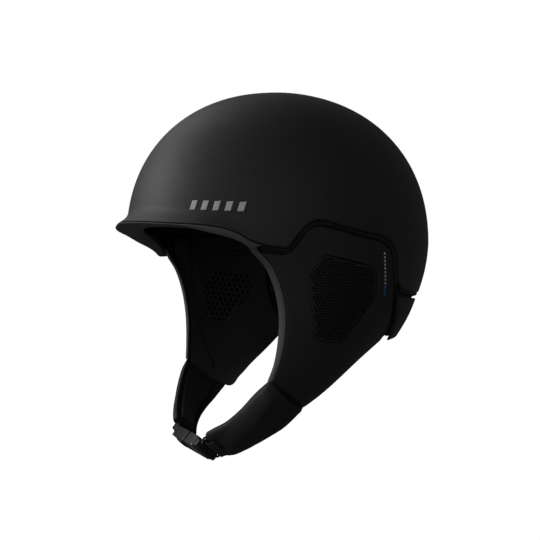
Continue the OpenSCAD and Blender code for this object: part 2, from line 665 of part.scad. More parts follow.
crown_shell();
brim_edge();
shock_liner();
crown_lining();
rear_liner();
left_side_panel();
right_side_panel();
left_face_edge();
right_face_edge();
left_cheek_foam();
right_cheek_foam();
left_cheek_lining();
right_cheek_lining();
left_ear_grille();
right_ear_grille();
left_ear_pad();
right_ear_pad();
left_seam_band();
right_seam_band();
rear_seam_band();
rear_patch();
front_badge();
left_side_mark();
front_pad();
left_temple_pad();
right_temple_pad();
nape_panel();
nape_pad();
left_strap_sleeve();
right_strap_sleeve();
left_strap_lining();
right_strap_lining();
left_webbing();
right_webbing();
buckle_socket();
socket_magnet();
release_button();
button_spring();
buckle_tongue();
tongue_magnet();
strap_tail();
tail_keeper();
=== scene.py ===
import math

import bmesh
import bpy
import numpy as np
from mathutils import Matrix, Vector


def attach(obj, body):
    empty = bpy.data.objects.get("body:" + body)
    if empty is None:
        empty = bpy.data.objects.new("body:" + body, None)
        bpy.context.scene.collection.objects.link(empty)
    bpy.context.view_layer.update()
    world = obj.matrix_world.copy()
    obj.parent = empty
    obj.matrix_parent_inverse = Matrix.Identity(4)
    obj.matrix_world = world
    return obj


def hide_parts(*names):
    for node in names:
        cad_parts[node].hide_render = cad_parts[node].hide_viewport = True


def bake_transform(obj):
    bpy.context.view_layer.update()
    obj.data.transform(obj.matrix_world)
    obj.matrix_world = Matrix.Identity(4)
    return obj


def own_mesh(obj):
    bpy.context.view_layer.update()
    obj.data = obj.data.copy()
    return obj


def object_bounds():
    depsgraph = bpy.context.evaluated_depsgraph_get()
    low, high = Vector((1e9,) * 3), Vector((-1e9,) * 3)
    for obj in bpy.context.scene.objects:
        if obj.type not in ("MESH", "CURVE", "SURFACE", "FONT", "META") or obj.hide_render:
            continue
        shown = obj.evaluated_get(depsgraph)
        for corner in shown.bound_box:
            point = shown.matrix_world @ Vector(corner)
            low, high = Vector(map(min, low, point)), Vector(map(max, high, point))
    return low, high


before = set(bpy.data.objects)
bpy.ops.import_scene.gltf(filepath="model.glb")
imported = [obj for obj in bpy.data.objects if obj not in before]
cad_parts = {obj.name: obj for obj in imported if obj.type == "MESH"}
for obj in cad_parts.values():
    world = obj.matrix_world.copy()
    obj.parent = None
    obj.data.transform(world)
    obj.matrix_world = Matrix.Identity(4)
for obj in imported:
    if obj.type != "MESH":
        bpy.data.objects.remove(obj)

cad_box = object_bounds()
MM = 0.001

# ---- The helmet's surfaces, in millimetres ---------------------------------

HALF_W, FRONT_L, BACK_L, DOME_H, DOME_N = 102.8, 120.5, 126.0, 115.0, 2.19
SKIN_T, WALL_T, FLARE, RECESS = 3.4, 12.5, 8.6, 2.0
JAW_DEPTH, NAPE_DEPTH = 134.0, 130.0
FOAM_D, LINING_D = SKIN_T + 0.9, WALL_T - 1.4
BADGE_BARS, SIDE_DASHES, GREY_DASHES, WINDOW_GAP = 5, 12, 9, 0.8
GRILLE_PITCH, GRILLE_HOLE, GRILLE_MARGIN = 2.06, 1.66, 1.75
EAR_PITCH, EAR_HOLE, EAR_MARGIN = 5.3, 3.9, 1.0
CUSHION_VOXEL, CUSHION_CAP, CUSHION_PRESSURE, CUSHION_FRAMES = 2.0, 1.8, 4, 20
SHARP_ANGLE, PLAIN_SPECULAR, WALL_SPECULAR = 35, 0.22, 0.3


def mix(a, b, t):
    return a + (b - a) * t


def ease(t):
    c = np.clip(t, 0, 1)
    return c * c * (3 - 2 * c)


def fall(t, n):
    t = np.clip(t, 0, 1)
    return (1 - t**n) ** (1 / n)


def hump(x, at, width):
    return np.exp(-(((x - at) / width) ** 2))


def plump(u, v, power):
    """Rounded swelling over a pad: 1 at its middle and 0 at its edges."""
    return (np.sin(np.pi * np.clip(u, 0, 1)) * np.sin(np.pi * np.clip(v, 0, 1))) ** power


def spline(p, t):
    """Smooth curve through the points p, for t from 0 to 1 (t may be an array)."""
    p = np.asarray(p, float)
    n = len(p) - 1
    s = np.clip(np.asarray(t, float), 0, 0.999999) * n
    i = np.floor(s).astype(int)
    f = (s - i)[..., None]
    a, b, c, d = p[np.maximum(i - 1, 0)], p[i], p[i + 1], p[np.minimum(i + 2, n)]
    return 0.5 * (2 * b + (c - a) * f + (2 * a - 5 * b + 4 * c - d) * f**2
                  + (3 * b - a - 3 * c + d) * f**3)


def wide(z, y):
    low = fall(-z * (1 + 0.44 * ease((y + 35) / 95)) / JAW_DEPTH, 2.8)
    return np.where(z >= 0, fall(z / DOME_H, DOME_N), low)


def back(z):
    return np.where(z >= 0, fall(z / DOME_H, DOME_N), fall(-z / NAPE_DEPTH, 1.6))


def dome(th, z, d):
    """Point of the dome at angle th (degrees) from the front, height z, depth d inwards."""
    th, z, d = np.broadcast_arrays(*(np.asarray(v, float) for v in (th, z, d)))
    s, c = np.sin(np.radians(th)), np.cos(np.radians(th))
    top = np.where(z > 0, fall(z / DOME_H, DOME_N), 1.0)
    y = np.where(c > 0, -(FRONT_L - d) * top * c, -(BACK_L - d) * back(z) * c)
    pinch = np.where(c > 0, 0.05 * np.sin(2 * np.radians(th)) ** 2 * c, 0)
    x = (HALF_W - d) * wide(z, y) * s * (1 - pinch)
    return np.stack([x, y, np.where(z > 0, z * (DOME_H - d) / DOME_H, z)], -1)


def sided(p, keep):
    """The points p, on the other side of the helmet where keep is false."""
    return np.where(np.asarray(keep)[..., None], p, p * [-1, 1, 1])


def rise(a):
    c = np.cos(np.radians(a))
    return DOME_H * np.sign(c) * np.abs(c) ** (2 / DOME_N)


def slope(z):
    return np.degrees(np.arccos(np.clip(np.sign(z) * (np.abs(z) / DOME_H) ** (DOME_N / 2), -1, 1)))


def thin(y, z):
    """How much of its full thickness the side wall keeps: it thins downwards and to the front."""
    low, edge = mix(1, 0.44, ease((-18 - z) / 66)), mix(0.52, 0.36, ease((-60 - z) / 30))
    from_edge = y + 48.5 + 0.006 * (z + 60) ** 2
    return mix(np.minimum(low, edge), low, ease((from_edge - 3) / 24))


def side(yz, d):
    """Point of the left side panel's surface at (y, z), depth d inwards."""
    y, z = yz[..., 0], yz[..., 1]
    reach = np.where(y < 0, 86 + 0.006 * (z + 55) ** 2, (BACK_L - RECESS) * back(z))
    x = (HALF_W - RECESS) * wide(z, y) * np.sqrt(np.maximum(0, 1 - (y / reach) ** 2)) - d * thin(y, z)
    return np.stack([x, y, z], -1)


def coons(top, bottom, left, right, u, v):
    u, v = u[..., None], v[..., None]
    t, b = spline(top, u[..., 0]), spline(bottom, u[..., 0])
    l, r = spline(left, v[..., 0]), spline(right, v[..., 0])
    tl, tr, bl, br = (np.asarray(q, float) for q in (top[0], top[-1], bottom[0], bottom[-1]))
    return mix(t, b, v) + mix(l, r, u) - mix(mix(tl, tr, u), mix(bl, br, u), v)


CROWN_EDGE = [[0, 13.6], [11, 12.6], [21, 11.1], [30, 9.6], [38, 8.3], [45, 6.1], [50.5, 2.1],
              [54, -2.6], [57.5, -5], [61.5, -6.7], [65.3, -7.2], [67.5, -2], [69.8, 4], [72.3, 8],
              [76, 10.1], [83, 6.6], [91, 3], [99, 0.2], [104, -5], [106.8, -14], [107.6, -24],
              [109.5, -32.5], [118, -38], [146, -42], [180, -43]]
PANEL_TOP = [[-61, -9.9], [-55, -11], [-48.3, -11.6], [-44, -8.2], [-39.4, -1.5], [-34.5, 4.2],
             [-28, 6.2], [-15, 3.8], [1, -0.2], [17.5, -3.4], [27.2, -7.2], [31.6, -15]]
PANEL_REAR = [[31.6, -15], [33, -25], [34.4, -35], [37, -46], [40.6, -57], [44, -67], [44.6, -75.6]]
PANEL_LOW = [[-49.8, -97.9], [-40, -105.4], [-30, -113], [-21, -119.8], [-13.5, -115.6],
             [-6.5, -111], [0.5, -106], [8, -100.6], [16, -94.9], [25, -88.6], [35, -82], [44.6, -75.6]]
FACE_LINE = [[-64.5, -9.9], [-57.5, -19], [-52.5, -31], [-49.5, -44], [-48.3, -57],
             [-48.8, -70], [-50.5, -83], [-53.2, -95]]
EDGE_T = 1.8
PANEL_FRONT = [[p[0] + EDGE_T + 0.3, p[1]] for p in FACE_LINE]
WINDOW = [[-26, -12.3], [11.6, -20.6], [14.7, -24.5], [15.5, -39], [-10.2, -71], [-30, -67],
          [-35.2, -25.6]]
EAR_FIELD = [[-14, -18], [21, -26], [25, -37], [-6, -68], [-24, -62], [-29, -34]]
FOAM_TOP = [[-58, 4], [-50, 9.4], [-36, 10.8], [-20, 10.8], [0, 10.8], [18, 10.8], [36, 10.6]]
FOAM_REAR = [[36, 10.6], [36.2, -8], [36, -25], [36.4, -40], [39, -56], [41.6, -66], [43, -74.6]]
FOAM_LOW = [[-49.3, -97.4], [-35, -108.4], [-21.5, -118.6], [-9, -111.6], [5, -101.6],
            [23, -89], [43, -74.6]]
FOAM_FRONT = [[-58, 4], [-57.6, -9], [-53.5, -20], [-48.7, -32], [-45.6, -46], [-44.6, -60],
              [-45.6, -76], [-49.3, -97.4]]


def shell_edge(a):
    return spline(CROWN_EDGE, np.where(a < 110, 0.875 * a / 110, mix(0.875, 1, (a - 110) / 70)))


def lip(th, up):
    return np.where(th > 56, 0, FLARE * (1 - (th / 56) ** 2) * np.maximum(0, 1 - up / 11) ** 2)


# ---- Materials -------------------------------------------------------------

def nodes_of(name, color, rough, **sockets):
    mat = bpy.data.materials.new(name)
    mat.use_nodes = True
    tree = mat.node_tree
    bsdf = tree.nodes["Principled BSDF"]
    bsdf.inputs["Base Color"].default_value = (*color, 1)
    bsdf.inputs["Roughness"].default_value = rough
    bsdf.inputs["Specular IOR Level"].default_value = PLAIN_SPECULAR
    for key, value in sockets.items():
        bsdf.inputs[key.replace("_", " ")].default_value = value
    return mat, tree, bsdf


def add(tree, kind, **props):
    node = tree.nodes.new(kind)
    for key, value in props.items():
        if key in node.inputs:
            node.inputs[key].default_value = value
        else:
            setattr(node, key, value)
    return node


def bump_from(tree, bsdf, height, strength, distance, normal=None):
    bump = add(tree, "ShaderNodeBump", Strength=strength, Distance=distance)
    tree.links.new(height, bump.inputs["Height"])
    if normal is not None:
        tree.links.new(normal, bump.inputs["Normal"])
    tree.links.new(bump.outputs["Normal"], bsdf.inputs["Normal"])
    return bump.outputs["Normal"]


def math_node(tree, op, a, b=None):
    node = add(tree, "ShaderNodeMath", operation=op)
    for socket, v in zip(node.inputs, (a, b)):
        if isinstance(v, (int, float)):
            socket.default_value = v
        elif v is not None:
            tree.links.new(v, socket)
    return node.outputs[0]


def object_coords(tree):
    return tree.nodes.new("ShaderNodeTexCoord").outputs["Object"]


def noise(tree, vector, scale, detail=3.0, rough=0.55):
    node = add(tree, "ShaderNodeTexNoise", Scale=scale, Detail=detail, Roughness=rough)
    tree.links.new(vector, node.inputs["Vector"])
    return node.outputs["Fac"]


def ranged(tree, fac, low, high):
    ramp = add(tree, "ShaderNodeMapRange")
    ramp.inputs["To Min"].default_value = low
    ramp.inputs["To Max"].default_value = high
    tree.links.new(fac, ramp.inputs["Value"])
    return ramp.outputs["Result"]


def varied(tree, bsdf, color, fac, low, high):
    """Colour that varies a little with fac, between low and high times the colour."""
    scale = add(tree, "ShaderNodeVectorMath", operation="SCALE")
    scale.inputs[0].default_value = color
    tree.links.new(ranged(tree, fac, low, high), scale.inputs["Scale"])
    tree.links.new(scale.outputs["Vector"], bsdf.inputs["Base Color"])


def rough_varied(tree, bsdf, fac, low, high):
    tree.links.new(ranged(tree, fac, low, high), bsdf.inputs["Roughness"])


def wave_pair(tree, uv, pitch, angle=45.0):
    """Two crossed sine waves over the UV map, in millimetres, pitch apart."""
    sep = tree.nodes.new("ShaderNodeSeparateXYZ")
    tree.links.new(uv, sep.inputs[0])
    u, v = sep.outputs[0], sep.outputs[1]
    k = 2 * math.pi / pitch
    ca, sa = math.cos(math.radians(angle)), math.sin(math.radians(angle))
    along, across = math_node(tree, "MULTIPLY", u, k * ca), math_node(tree, "MULTIPLY", v, k * sa)
    waves = [math_node(tree, "SINE", math_node(tree, op, along, across)) for op in ("ADD", "SUBTRACT")]
    return math_node(tree, "MULTIPLY", *waves)


def moulded(name, color, rough, grain=1800.0, depth=0.00006, strength=0.35, **sockets):
    """Moulded plastic or rubber with a fine even grain."""
    mat, tree, bsdf = nodes_of(name, color, rough, **sockets)
    at = object_coords(tree)
    fine = noise(tree, at, grain, 2.0)
    broad = noise(tree, at, 14.0, 4.0)
    varied(tree, bsdf, color, broad, 0.9, 1.1)
    rough_varied(tree, bsdf, broad, rough - 0.04, rough + 0.04)
    bump_from(tree, bsdf, fine, strength, depth)
    return mat


def cloth(name, color, rough, pitch=0.9, depth=0.00012, sheen=0.02, strength=0.6, angle=45.0):
    """Knitted or woven cloth, its weave laid on the UV map in millimetres."""
    mat, tree, bsdf = nodes_of(name, color, rough)
    bsdf.inputs["Sheen Weight"].default_value = sheen
    bsdf.inputs["Sheen Roughness"].default_value = 0.5
    uv = tree.nodes.new("ShaderNodeTexCoord").outputs["UV"]
    weave = wave_pair(tree, uv, pitch, angle)
    at = object_coords(tree)
    fuzz = noise(tree, at, 900.0, 3.0)
    both = math_node(tree, "ADD", weave, fuzz)
    varied(tree, bsdf, color, weave, 0.82, 1.12)
    bump_from(tree, bsdf, both, strength, depth)
    return mat


def woven_shell(name, color, rough):
    """Matt shell with a very fine diagonal woven grain."""
    mat, tree, bsdf = nodes_of(name, color, rough)
    bsdf.inputs["Specular IOR Level"].default_value = WALL_SPECULAR
    bsdf.inputs["Sheen Weight"].default_value = 0.02
    bsdf.inputs["Sheen Roughness"].default_value = 0.4
    uv = tree.nodes.new("ShaderNodeTexCoord").outputs["UV"]
    weave = wave_pair(tree, uv, 2.3, 38.0)
    fine = wave_pair(tree, uv, 1.15, 52.0)
    at = object_coords(tree)
    broad = noise(tree, at, 9.0, 4.0)
    grain = noise(tree, at, 1500.0, 2.0)
    mixed = math_node(tree, "ADD", weave, math_node(tree, "MULTIPLY", fine, 0.35))
    varied(tree, bsdf, color, mixed, 0.87, 1.13)
    rough_varied(tree, bsdf, broad, rough - 0.05, rough + 0.05)
    first = bump_from(tree, bsdf, mixed, 0.4, 0.00012)
    bump_from(tree, bsdf, grain, 0.25, 0.00005, normal=first)
    return mat


M = {"crown": woven_shell("shell_crown", (0.0135, 0.0135, 0.0145), 0.55),
    "side": moulded("shell_side", (0.0135, 0.0135, 0.014), 0.6),
    "nape": moulded("shell_nape", (0.02, 0.02, 0.0207), 0.6),
    "edge": moulded("edge_trim", (0.056, 0.056, 0.058), 0.6, grain=1200.0),
    "foam": moulded("foam", (0.02, 0.02, 0.021), 0.8, grain=700.0, depth=0.0002),
    "lining": cloth("lining_fabric", (0.034, 0.034, 0.0355), 0.85),
    "grille": moulded("grille", (0.012, 0.012, 0.0125), 0.55),
    "ear": cloth("ear_foam", (0.037, 0.037, 0.0385), 0.85, pitch=0.7),
    "membrane": cloth("acoustic_cloth", (0.0022, 0.0022, 0.0024), 0.9, pitch=0.5),
    "band": cloth("stretch_band", (0.009, 0.009, 0.0095), 0.75, pitch=1.1, angle=60.0),
    "rubber": moulded("rubber_patch", (0.004, 0.004, 0.0043), 0.6),
    "ink": moulded("print_grey", (0.42, 0.42, 0.43), 0.5),
    "blue": moulded("print_blue", (0.015, 0.16, 0.5), 0.5),
    "sleeve": moulded("sleeve", (0.0098, 0.0098, 0.0103), 0.62, grain=1500.0),
    "sleeve_lining": cloth("sleeve_lining", (0.018, 0.018, 0.019), 0.85, pitch=0.8),
    "webbing": cloth("webbing", (0.006, 0.006, 0.0065), 0.8, pitch=1.3, depth=0.0003, angle=70.0),
    "buckle": moulded("buckle_body", (0.0095, 0.0095, 0.01), 0.45),
    "button": moulded("buckle_button", (0.008, 0.008, 0.0085), 0.42),
    # The tongue's plastic gets a base colour nearly three times the socket's: a painted highlight for the
    # light the tongue catches.
    "tongue": moulded("buckle_tongue", (0.026, 0.026, 0.0275), 0.34, Specular_IOR_Level=0.4),
    "magnet": moulded("magnet", (0.22, 0.22, 0.23), 0.35, Metallic=1.0),
    "wire": moulded("spring_wire", (0.4, 0.4, 0.42), 0.3, Metallic=1.0),}

# ---- Mesh helpers ----------------------------------------------------------

def face_outwards(bm):
    """Turns all faces of a closed mesh outwards."""
    bmesh.ops.recalc_face_normals(bm, faces=bm.faces)
    if bm.calc_volume(signed=True) < 0:
        bmesh.ops.reverse_faces(bm, faces=bm.faces)


def make(name, verts, faces, mat, body="helmet", node=None, uv=None, angle=32.0, slot=None):
    """A piece from points in millimetres, riding on a body and replacing a node."""
    mesh = bpy.data.meshes.new(name)
    mesh.from_pydata((np.asarray(verts, float) * MM).tolist(), [], [list(map(int, f)) for f in faces])
    if uv is not None:
        layer = mesh.uv_layers.new(name="uv")
        idx = np.empty(len(mesh.loops), int)
        mesh.loops.foreach_get("vertex_index", idx)
        layer.data.foreach_set("uv", np.asarray(uv, float)[idx].ravel())
    bm = bmesh.new()
    bm.from_mesh(mesh)
    bmesh.ops.remove_doubles(bm, verts=bm.verts, dist=1e-7)
    face_outwards(bm)
    bm.to_mesh(mesh)
    bm.free()
    mesh.polygons.foreach_set("use_smooth", [True] * len(mesh.polygons))
    mesh.set_sharp_from_angle(angle=math.radians(angle))
    mesh.materials.append(M[mat])
    obj = bpy.data.objects.new(name, mesh)
    bpy.context.scene.collection.objects.link(obj)
    if body:
        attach(obj, body)
    if node:
        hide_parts(node)
    return obj


def clustered(n, length, r):
    """n + 1 values from 0 to 1, closer together within r millimetres of both ends."""
    near = [q * r / length for q in (0, 0.04, 0.16, 0.36, 0.62, 1.0)] if r > 0 else [0]
    far = [1 - q for q in reversed(near)]
    return np.concatenate([near, np.linspace(near[-1], far[0], n + 1)[1:-1], far])


def travelled(points):
    """Distance covered so far from point to point along the first axis."""
    step = np.linalg.norm(np.diff(points, axis=0), axis=-1)
    return np.concatenate([np.zeros((1, *step.shape[1:])), np.cumsum(step, 0)])


def edge_distance(grid, wrap):
    """Distance along the surface from each grid point to the nearest open edge."""
    def along(g):
        up = travelled(g)
        return up, up[-1] - up
    d = along(grid)[1] if wrap else np.minimum(*along(grid))
    if not wrap:
        d = np.minimum(d, np.minimum(*along(grid.transpose(1, 0, 2))).T)
    return d


def fillet(s, r):
    return r - np.sqrt(np.maximum(0, r * r - (r - np.minimum(s, r)) ** 2))


def shell(name, point, nu, nv, d0, d1, mat, r=1.0, r_in=0.6, wrap=False, size=(100, 100),
          mirror=False, uv=None, **more):
    """Closed piece between depths d0 and d1 of point(u, v, d), with rounded edges.

    d0 and d1 may be numbers or functions of the (u, v) grid."""
    edge_r = max(r, r_in)
    us = np.linspace(0, 1, nu + 1)[:-1] if wrap else clustered(nu, size[0], edge_r)
    vs = clustered(nv, size[1], edge_r)
    if wrap:
        vs = np.concatenate([np.linspace(0, 1, nv + 1)[1:-1], vs[vs > 1 - 1.0 / nv]])
        vs = np.unique(vs)
    v, u = np.meshgrid(vs, us, indexing="ij")
    depth = [(d(u, v) if callable(d) else np.full(u.shape, float(d))) for d in (d0, d1)]
    dist = edge_distance(point(u, v, depth[0]), wrap)
    outer = point(u, v, depth[0] + fillet(dist, r))
    inner = point(u, v, depth[1] - fillet(dist, r_in))
    rows, cols = u.shape
    n = rows * cols
    verts = np.concatenate([outer.reshape(-1, 3), inner.reshape(-1, 3)])
    if mirror:
        verts = verts * [-1, 1, 1]
    faces = []
    wide_cols = cols if wrap else cols - 1
    i, j = np.meshgrid(np.arange(rows - 1), np.arange(wide_cols), indexing="ij")
    k = (j + 1) % cols
    quad = np.stack([i * cols + j, i * cols + k, (i + 1) * cols + k, (i + 1) * cols + j], -1)
    faces += quad.reshape(-1, 4).tolist() + (quad[..., ::-1] + n).reshape(-1, 4).tolist()
    if wrap:
        rim = [(rows - 1) * cols + j for j in range(cols)]
        for base, flip in ((0, 1), (n, -1)):
            centre = len(verts)
            top = point(np.array([0.0]), np.array([0.0]), depth[0 if base == 0 else 1][:1, 0])[0]
            verts = np.concatenate([verts, [top * ([-1, 1, 1] if mirror else [1, 1, 1])]])
            faces += [[base + j, centre, base + (j + 1) % cols][::flip] for j in range(cols)]
    else:
        rim = ([j for j in range(cols)] + [i * cols + cols - 1 for i in range(1, rows)]
               + [(rows - 1) * cols + j for j in range(cols - 2, -1, -1)]
               + [i * cols for i in range(rows - 2, 0, -1)])
    m = len(rim)
    faces += [[rim[q], rim[(q + 1) % m], n + rim[(q + 1) % m], n + rim[q]] for q in range(m)]
    if uv is None:
        uvs = grid_uv(outer)
    else:
        uvs = uv(u, v, outer)
    uvs = np.concatenate([uvs.reshape(-1, 2)] * 2)
    if wrap:
        uvs = np.concatenate([uvs, [[0, 0], [0, 0]]])
    return make(name, verts, faces, mat, uv=uvs, **more)


def grid_uv(grid):
    """Map in millimetres: distance along the middle row and down each column."""
    across, down = travelled(grid[len(grid) // 2]), travelled(grid)
    return np.stack([np.broadcast_to(across, down.shape), down], -1)


def ring_faces(spans, count, c):
    """Faces between following rings of c points; the last ring can be joined to the first."""
    return [[i * c + j, i * c + (j + 1) % c, (i + 1) % count * c + (j + 1) % c,
             (i + 1) % count * c + j] for i in range(spans) for j in range(c)]


def sweep(name, rings, mat, mirror=False, bevel=0.0, **more):
    """Closed piece through rings of points."""
    rings = np.asarray(rings, float)
    r, c = rings.shape[:2]
    verts = rings.reshape(-1, 3) * ([-1, 1, 1] if mirror else [1, 1, 1])
    faces = ring_faces(r - 1, r, c) + [list(range(c)), list(range((r - 1) * c, r * c))[::-1]]
    along, around = travelled(rings[:, 0]), travelled(rings[r // 2])
    uvs = np.stack(np.meshgrid(along, around, indexing="ij"), -1).reshape(-1, 2)
    obj = make(name, verts, faces, mat, uv=uvs, **more)
    if bevel:
        bevelled(obj, bevel)
    return obj


def bevelled(obj, width, segments=3, angle=35.0):
    """Rounds the edges sharper than angle, and applies it."""
    mod = obj.modifiers.new("bevel", "BEVEL")
    mod.width = width * MM
    mod.segments = segments
    mod.limit_method = "ANGLE"
    mod.angle_limit = math.radians(angle)
    mod.use_clamp_overlap = True
    applied(obj)
    return obj


def applied(obj):
    """Applies all modifiers of a mesh piece."""
    graph = bpy.context.evaluated_depsgraph_get()
    mesh = bpy.data.meshes.new_from_object(obj.evaluated_get(graph))
    old = obj.data
    obj.modifiers.clear()
    obj.data = mesh
    mesh.name = obj.name
    if old.users == 0:
        bpy.data.meshes.remove(old)
    mesh.polygons.foreach_set("use_smooth", [True] * len(mesh.polygons))
    mesh.set_sharp_from_angle(angle=math.radians(SHARP_ANGLE))


def prism_faces(n):
    sides = [[k, n + k, n + (k + 1) % n, (k + 1) % n] for k in range(n)]
    return [list(range(n)), list(range(2 * n - 1, n - 1, -1))] + sides


def boolean(obj, tools, operation="DIFFERENCE"):
    """Cuts the tools out of a piece, or joins them to it, and removes them."""
    for tool in tools:
        mod = obj.modifiers.new("cut", "BOOLEAN")
        mod.operation = operation
        mod.solver = "EXACT"
        mod.object = tool
    applied(obj)
    for tool in tools:
        mesh = tool.data
        bpy.data.objects.remove(tool)
        bpy.data.meshes.remove(mesh)


def cut(obj, outline, x0, x1, mirror=False):
    """Cuts a prism with the given (y, z) outline, from x0 to x1, out of a piece."""
    verts = [(-x if mirror else x, y, z) for x in (x0, x1) for y, z in outline]
    mesh = bpy.data.meshes.new("cutter")
    mesh.from_pydata((np.array(verts) * MM).tolist(), [], prism_faces(len(outline)))
    bm = bmesh.new()
    bm.from_mesh(mesh)
    face_outwards(bm)
    bm.to_mesh(mesh)
    bm.free()
    tool = bpy.data.objects.new("cutter", mesh)
    bpy.context.scene.collection.objects.link(tool)
    boolean(obj, [tool])


def rounded_outline(points, r, steps=6):
    """A polygon with its corners rounded to about r."""
    out = []
    n = len(points)
    for k in range(n):
        a, b, c = (np.array(points[(k + q) % n], float) for q in (-1, 0, 1))
        da, dc = np.linalg.norm(a - b), np.linalg.norm(c - b)
        w = min(r, da * 0.45, dc * 0.45)
        p, q = b + (a - b) / da * w, b + (c - b) / dc * w
        for t in np.linspace(0, 1, steps):
            out.append((1 - t) ** 2 * p + 2 * t * (1 - t) * b + t * t * q)
    return np.array(out)


def grow(points, w):
    p = np.asarray(points, float)
    c = p.mean(0)
    e = p - c
    return p + w * e / np.linalg.norm(e, axis=1)[:, None]


def inside(points, p, margin):
    """True where p is inside the convex outline by at least margin."""
    a = np.asarray(points, float)
    e = np.roll(a, -1, 0) - a
    e /= np.linalg.norm(e, axis=1)[:, None]
    turn = np.sign(np.sum(a[:, 0] * np.roll(a[:, 1], -1) - a[:, 1] * np.roll(a[:, 0], -1)))
    q = p[None, :] - a
    return np.min(turn * (e[:, 0] * q[:, 1] - e[:, 1] * q[:, 0])) > margin


def perforated(name, outline, pitch, hole, margin, centre, tilt, point, d0, d1, mat, round_r=3.0,
               mirror=False, **more):
    """Sheet with hexagonally spaced round holes, laid on the surface point(yz, d)."""
    ca, sa = math.cos(math.radians(tilt)), math.sin(math.radians(tilt))
    table, pts, faces = {}, [], []

    def vert(y, z):
        key = (round(y, 3), round(z, 3))
        if key not in table:
            table[key] = len(pts)
            pts.append((y, z))
        return table[key]

    r = pitch / math.sqrt(3)
    for i in range(-30, 31):
        for j in range(-30, 31):
            x, y = pitch * (i + (abs(j) % 2) / 2), pitch * 0.8660254 * j
            p = np.array([centre[0] + x * ca - y * sa, centre[1] + x * sa + y * ca])
            if not inside(outline, p, margin):
                continue
            ring, rim = [], []
            for k in range(12):
                a = math.radians(30 * k + 30 + tilt)
                reach = r if k % 2 == 0 else r * math.cos(math.radians(30))
                ring.append(vert(p[0] + reach * math.cos(a), p[1] + reach * math.sin(a)))
                rim.append(vert(p[0] + hole / 2 * math.cos(a), p[1] + hole / 2 * math.sin(a)))
            faces += [[ring[k], ring[(k + 1) % 12], rim[(k + 1) % 12], rim[k]] for k in range(12)]
    bm = bmesh.new()
    bverts = [bm.verts.new((y, z, 0)) for y, z in pts]
    for f in faces:
        bm.faces.new([bverts[k] for k in f])
    holes = {frozenset((f[2], f[3])) for f in faces}
    bm.verts.index_update()
    outer = [e for e in bm.edges if len(e.link_faces) == 1
             and frozenset((e.verts[0].index, e.verts[1].index)) not in holes]
    border = rounded_outline(outline, round_r, 7)
    loop = [bm.verts.new((y, z, 0)) for y, z in border]
    edges = [bm.edges.new((loop[k], loop[(k + 1) % len(loop)])) for k in range(len(loop))]
    bmesh.ops.triangle_fill(bm, edges=outer + edges, use_beauty=True)
    bm.verts.index_update()
    flat = np.array([(q.co.x, q.co.y) for q in bm.verts])
    polys = [[q.index for q in f.verts] for f in bm.faces]
    count = {}
    for f in polys:
        for a, b in zip(f, f[1:] + f[:1]):
            count.setdefault(frozenset((a, b)), []).append((a, b))
    bm.free()
    n = len(flat)
    verts = np.concatenate([point(flat, d0), point(flat, d1)])
    if mirror:
        verts = verts * [-1, 1, 1]
    walls = [[e[0][1], e[0][0], n + e[0][0], n + e[0][1]] for e in count.values() if len(e) == 1]
    all_faces = polys + [[n + q for q in f[::-1]] for f in polys] + walls
    return make(name, verts, all_faces, mat, uv=np.concatenate([flat, flat]), angle=40.0, **more)


def read_points(mesh):
    flat = np.empty(len(mesh.vertices) * 3)
    mesh.vertices.foreach_get("co", flat)
    return flat.reshape(-1, 3) / MM


def write_points(mesh, points):
    mesh.vertices.foreach_set("co", (points * MM).ravel())
    mesh.update()


def puffed(obj, press, back_of_head=False):
    """Swells a pad with a short cloth simulation, then presses its seams in.

    No point moves more than CUSHION_CAP millimetres in the simulation. press gives how far the
    seams draw each point of the inner face outwards."""
    remesh = obj.modifiers.new("remesh", "REMESH")
    remesh.mode = "VOXEL"
    remesh.voxel_size = CUSHION_VOXEL * MM
    applied(obj)
    before = read_points(obj.data)
    cloth = obj.modifiers.new("cloth", "CLOTH")
    cloth.settings.use_pressure = True
    cloth.settings.uniform_pressure_force = CUSHION_PRESSURE
    cloth.settings.effector_weights.gravity = 0
    cloth.point_cache.frame_end = CUSHION_FRAMES
    for frame_number in range(1, CUSHION_FRAMES + 1):
        bpy.context.scene.frame_set(frame_number)
    graph = bpy.context.evaluated_depsgraph_get()
    move = read_points(obj.evaluated_get(graph).data) - before
    obj.modifiers.clear()
    bpy.context.scene.frame_set(1)
    length = np.linalg.norm(move, axis=1, keepdims=True)
    write_points(obj.data, before + move * np.minimum(1, CUSHION_CAP / np.maximum(length, 1e-6)))
    smooth = obj.modifiers.new("smooth", "SUBSURF")
    smooth.levels = smooth.render_levels = 1
    applied(obj)
    points = read_points(obj.data)
    out = points * [1, 1, 0]
    out /= np.linalg.norm(out, axis=1, keepdims=True)
    points += out * press(points)[:, None]
    write_points(obj.data, points)
    turn = np.arctan2(points[:, 0], points[:, 1] if back_of_head else -points[:, 1])
    uvs = np.stack([turn * 105, points[:, 2]], -1)
    idx = np.empty(len(obj.data.loops), int)
    obj.data.loops.foreach_get("vertex_index", idx)
    obj.data.uv_layers.new(name="uv").data.foreach_set("uv", uvs[idx].ravel())


# ---- Crown -----------------------------------------------------------------

def crown_point(u, v, d):
    a = 360 * np.asarray(u, float)
    half = np.where(a <= 180, a, 360 - a)
    e = shell_edge(half)
    th, z = mix(half, e[..., 0], v * v), rise(v * slope(e[..., 1]))
    return sided(dome(th, z, d - lip(th, z - e[..., 1])), a <= 180)


def lining_point(u, v, d):
    a = 360 * np.asarray(u, float)
    half = np.where(a <= 180, a, 360 - a)
    z = rise(v * slope(mix(18.6, 12.8, ease((half - 20) / 50)) - 0.2))
    return sided(dome(half, z, d), a <= 180)


def polar_uv(u, v, grid):
    """Map in millimetres: distance down from the top, laid out round the top."""
    down, a = travelled(grid), 2 * np.pi * u
    return np.stack([down * np.sin(a), down * np.cos(a)], -1)


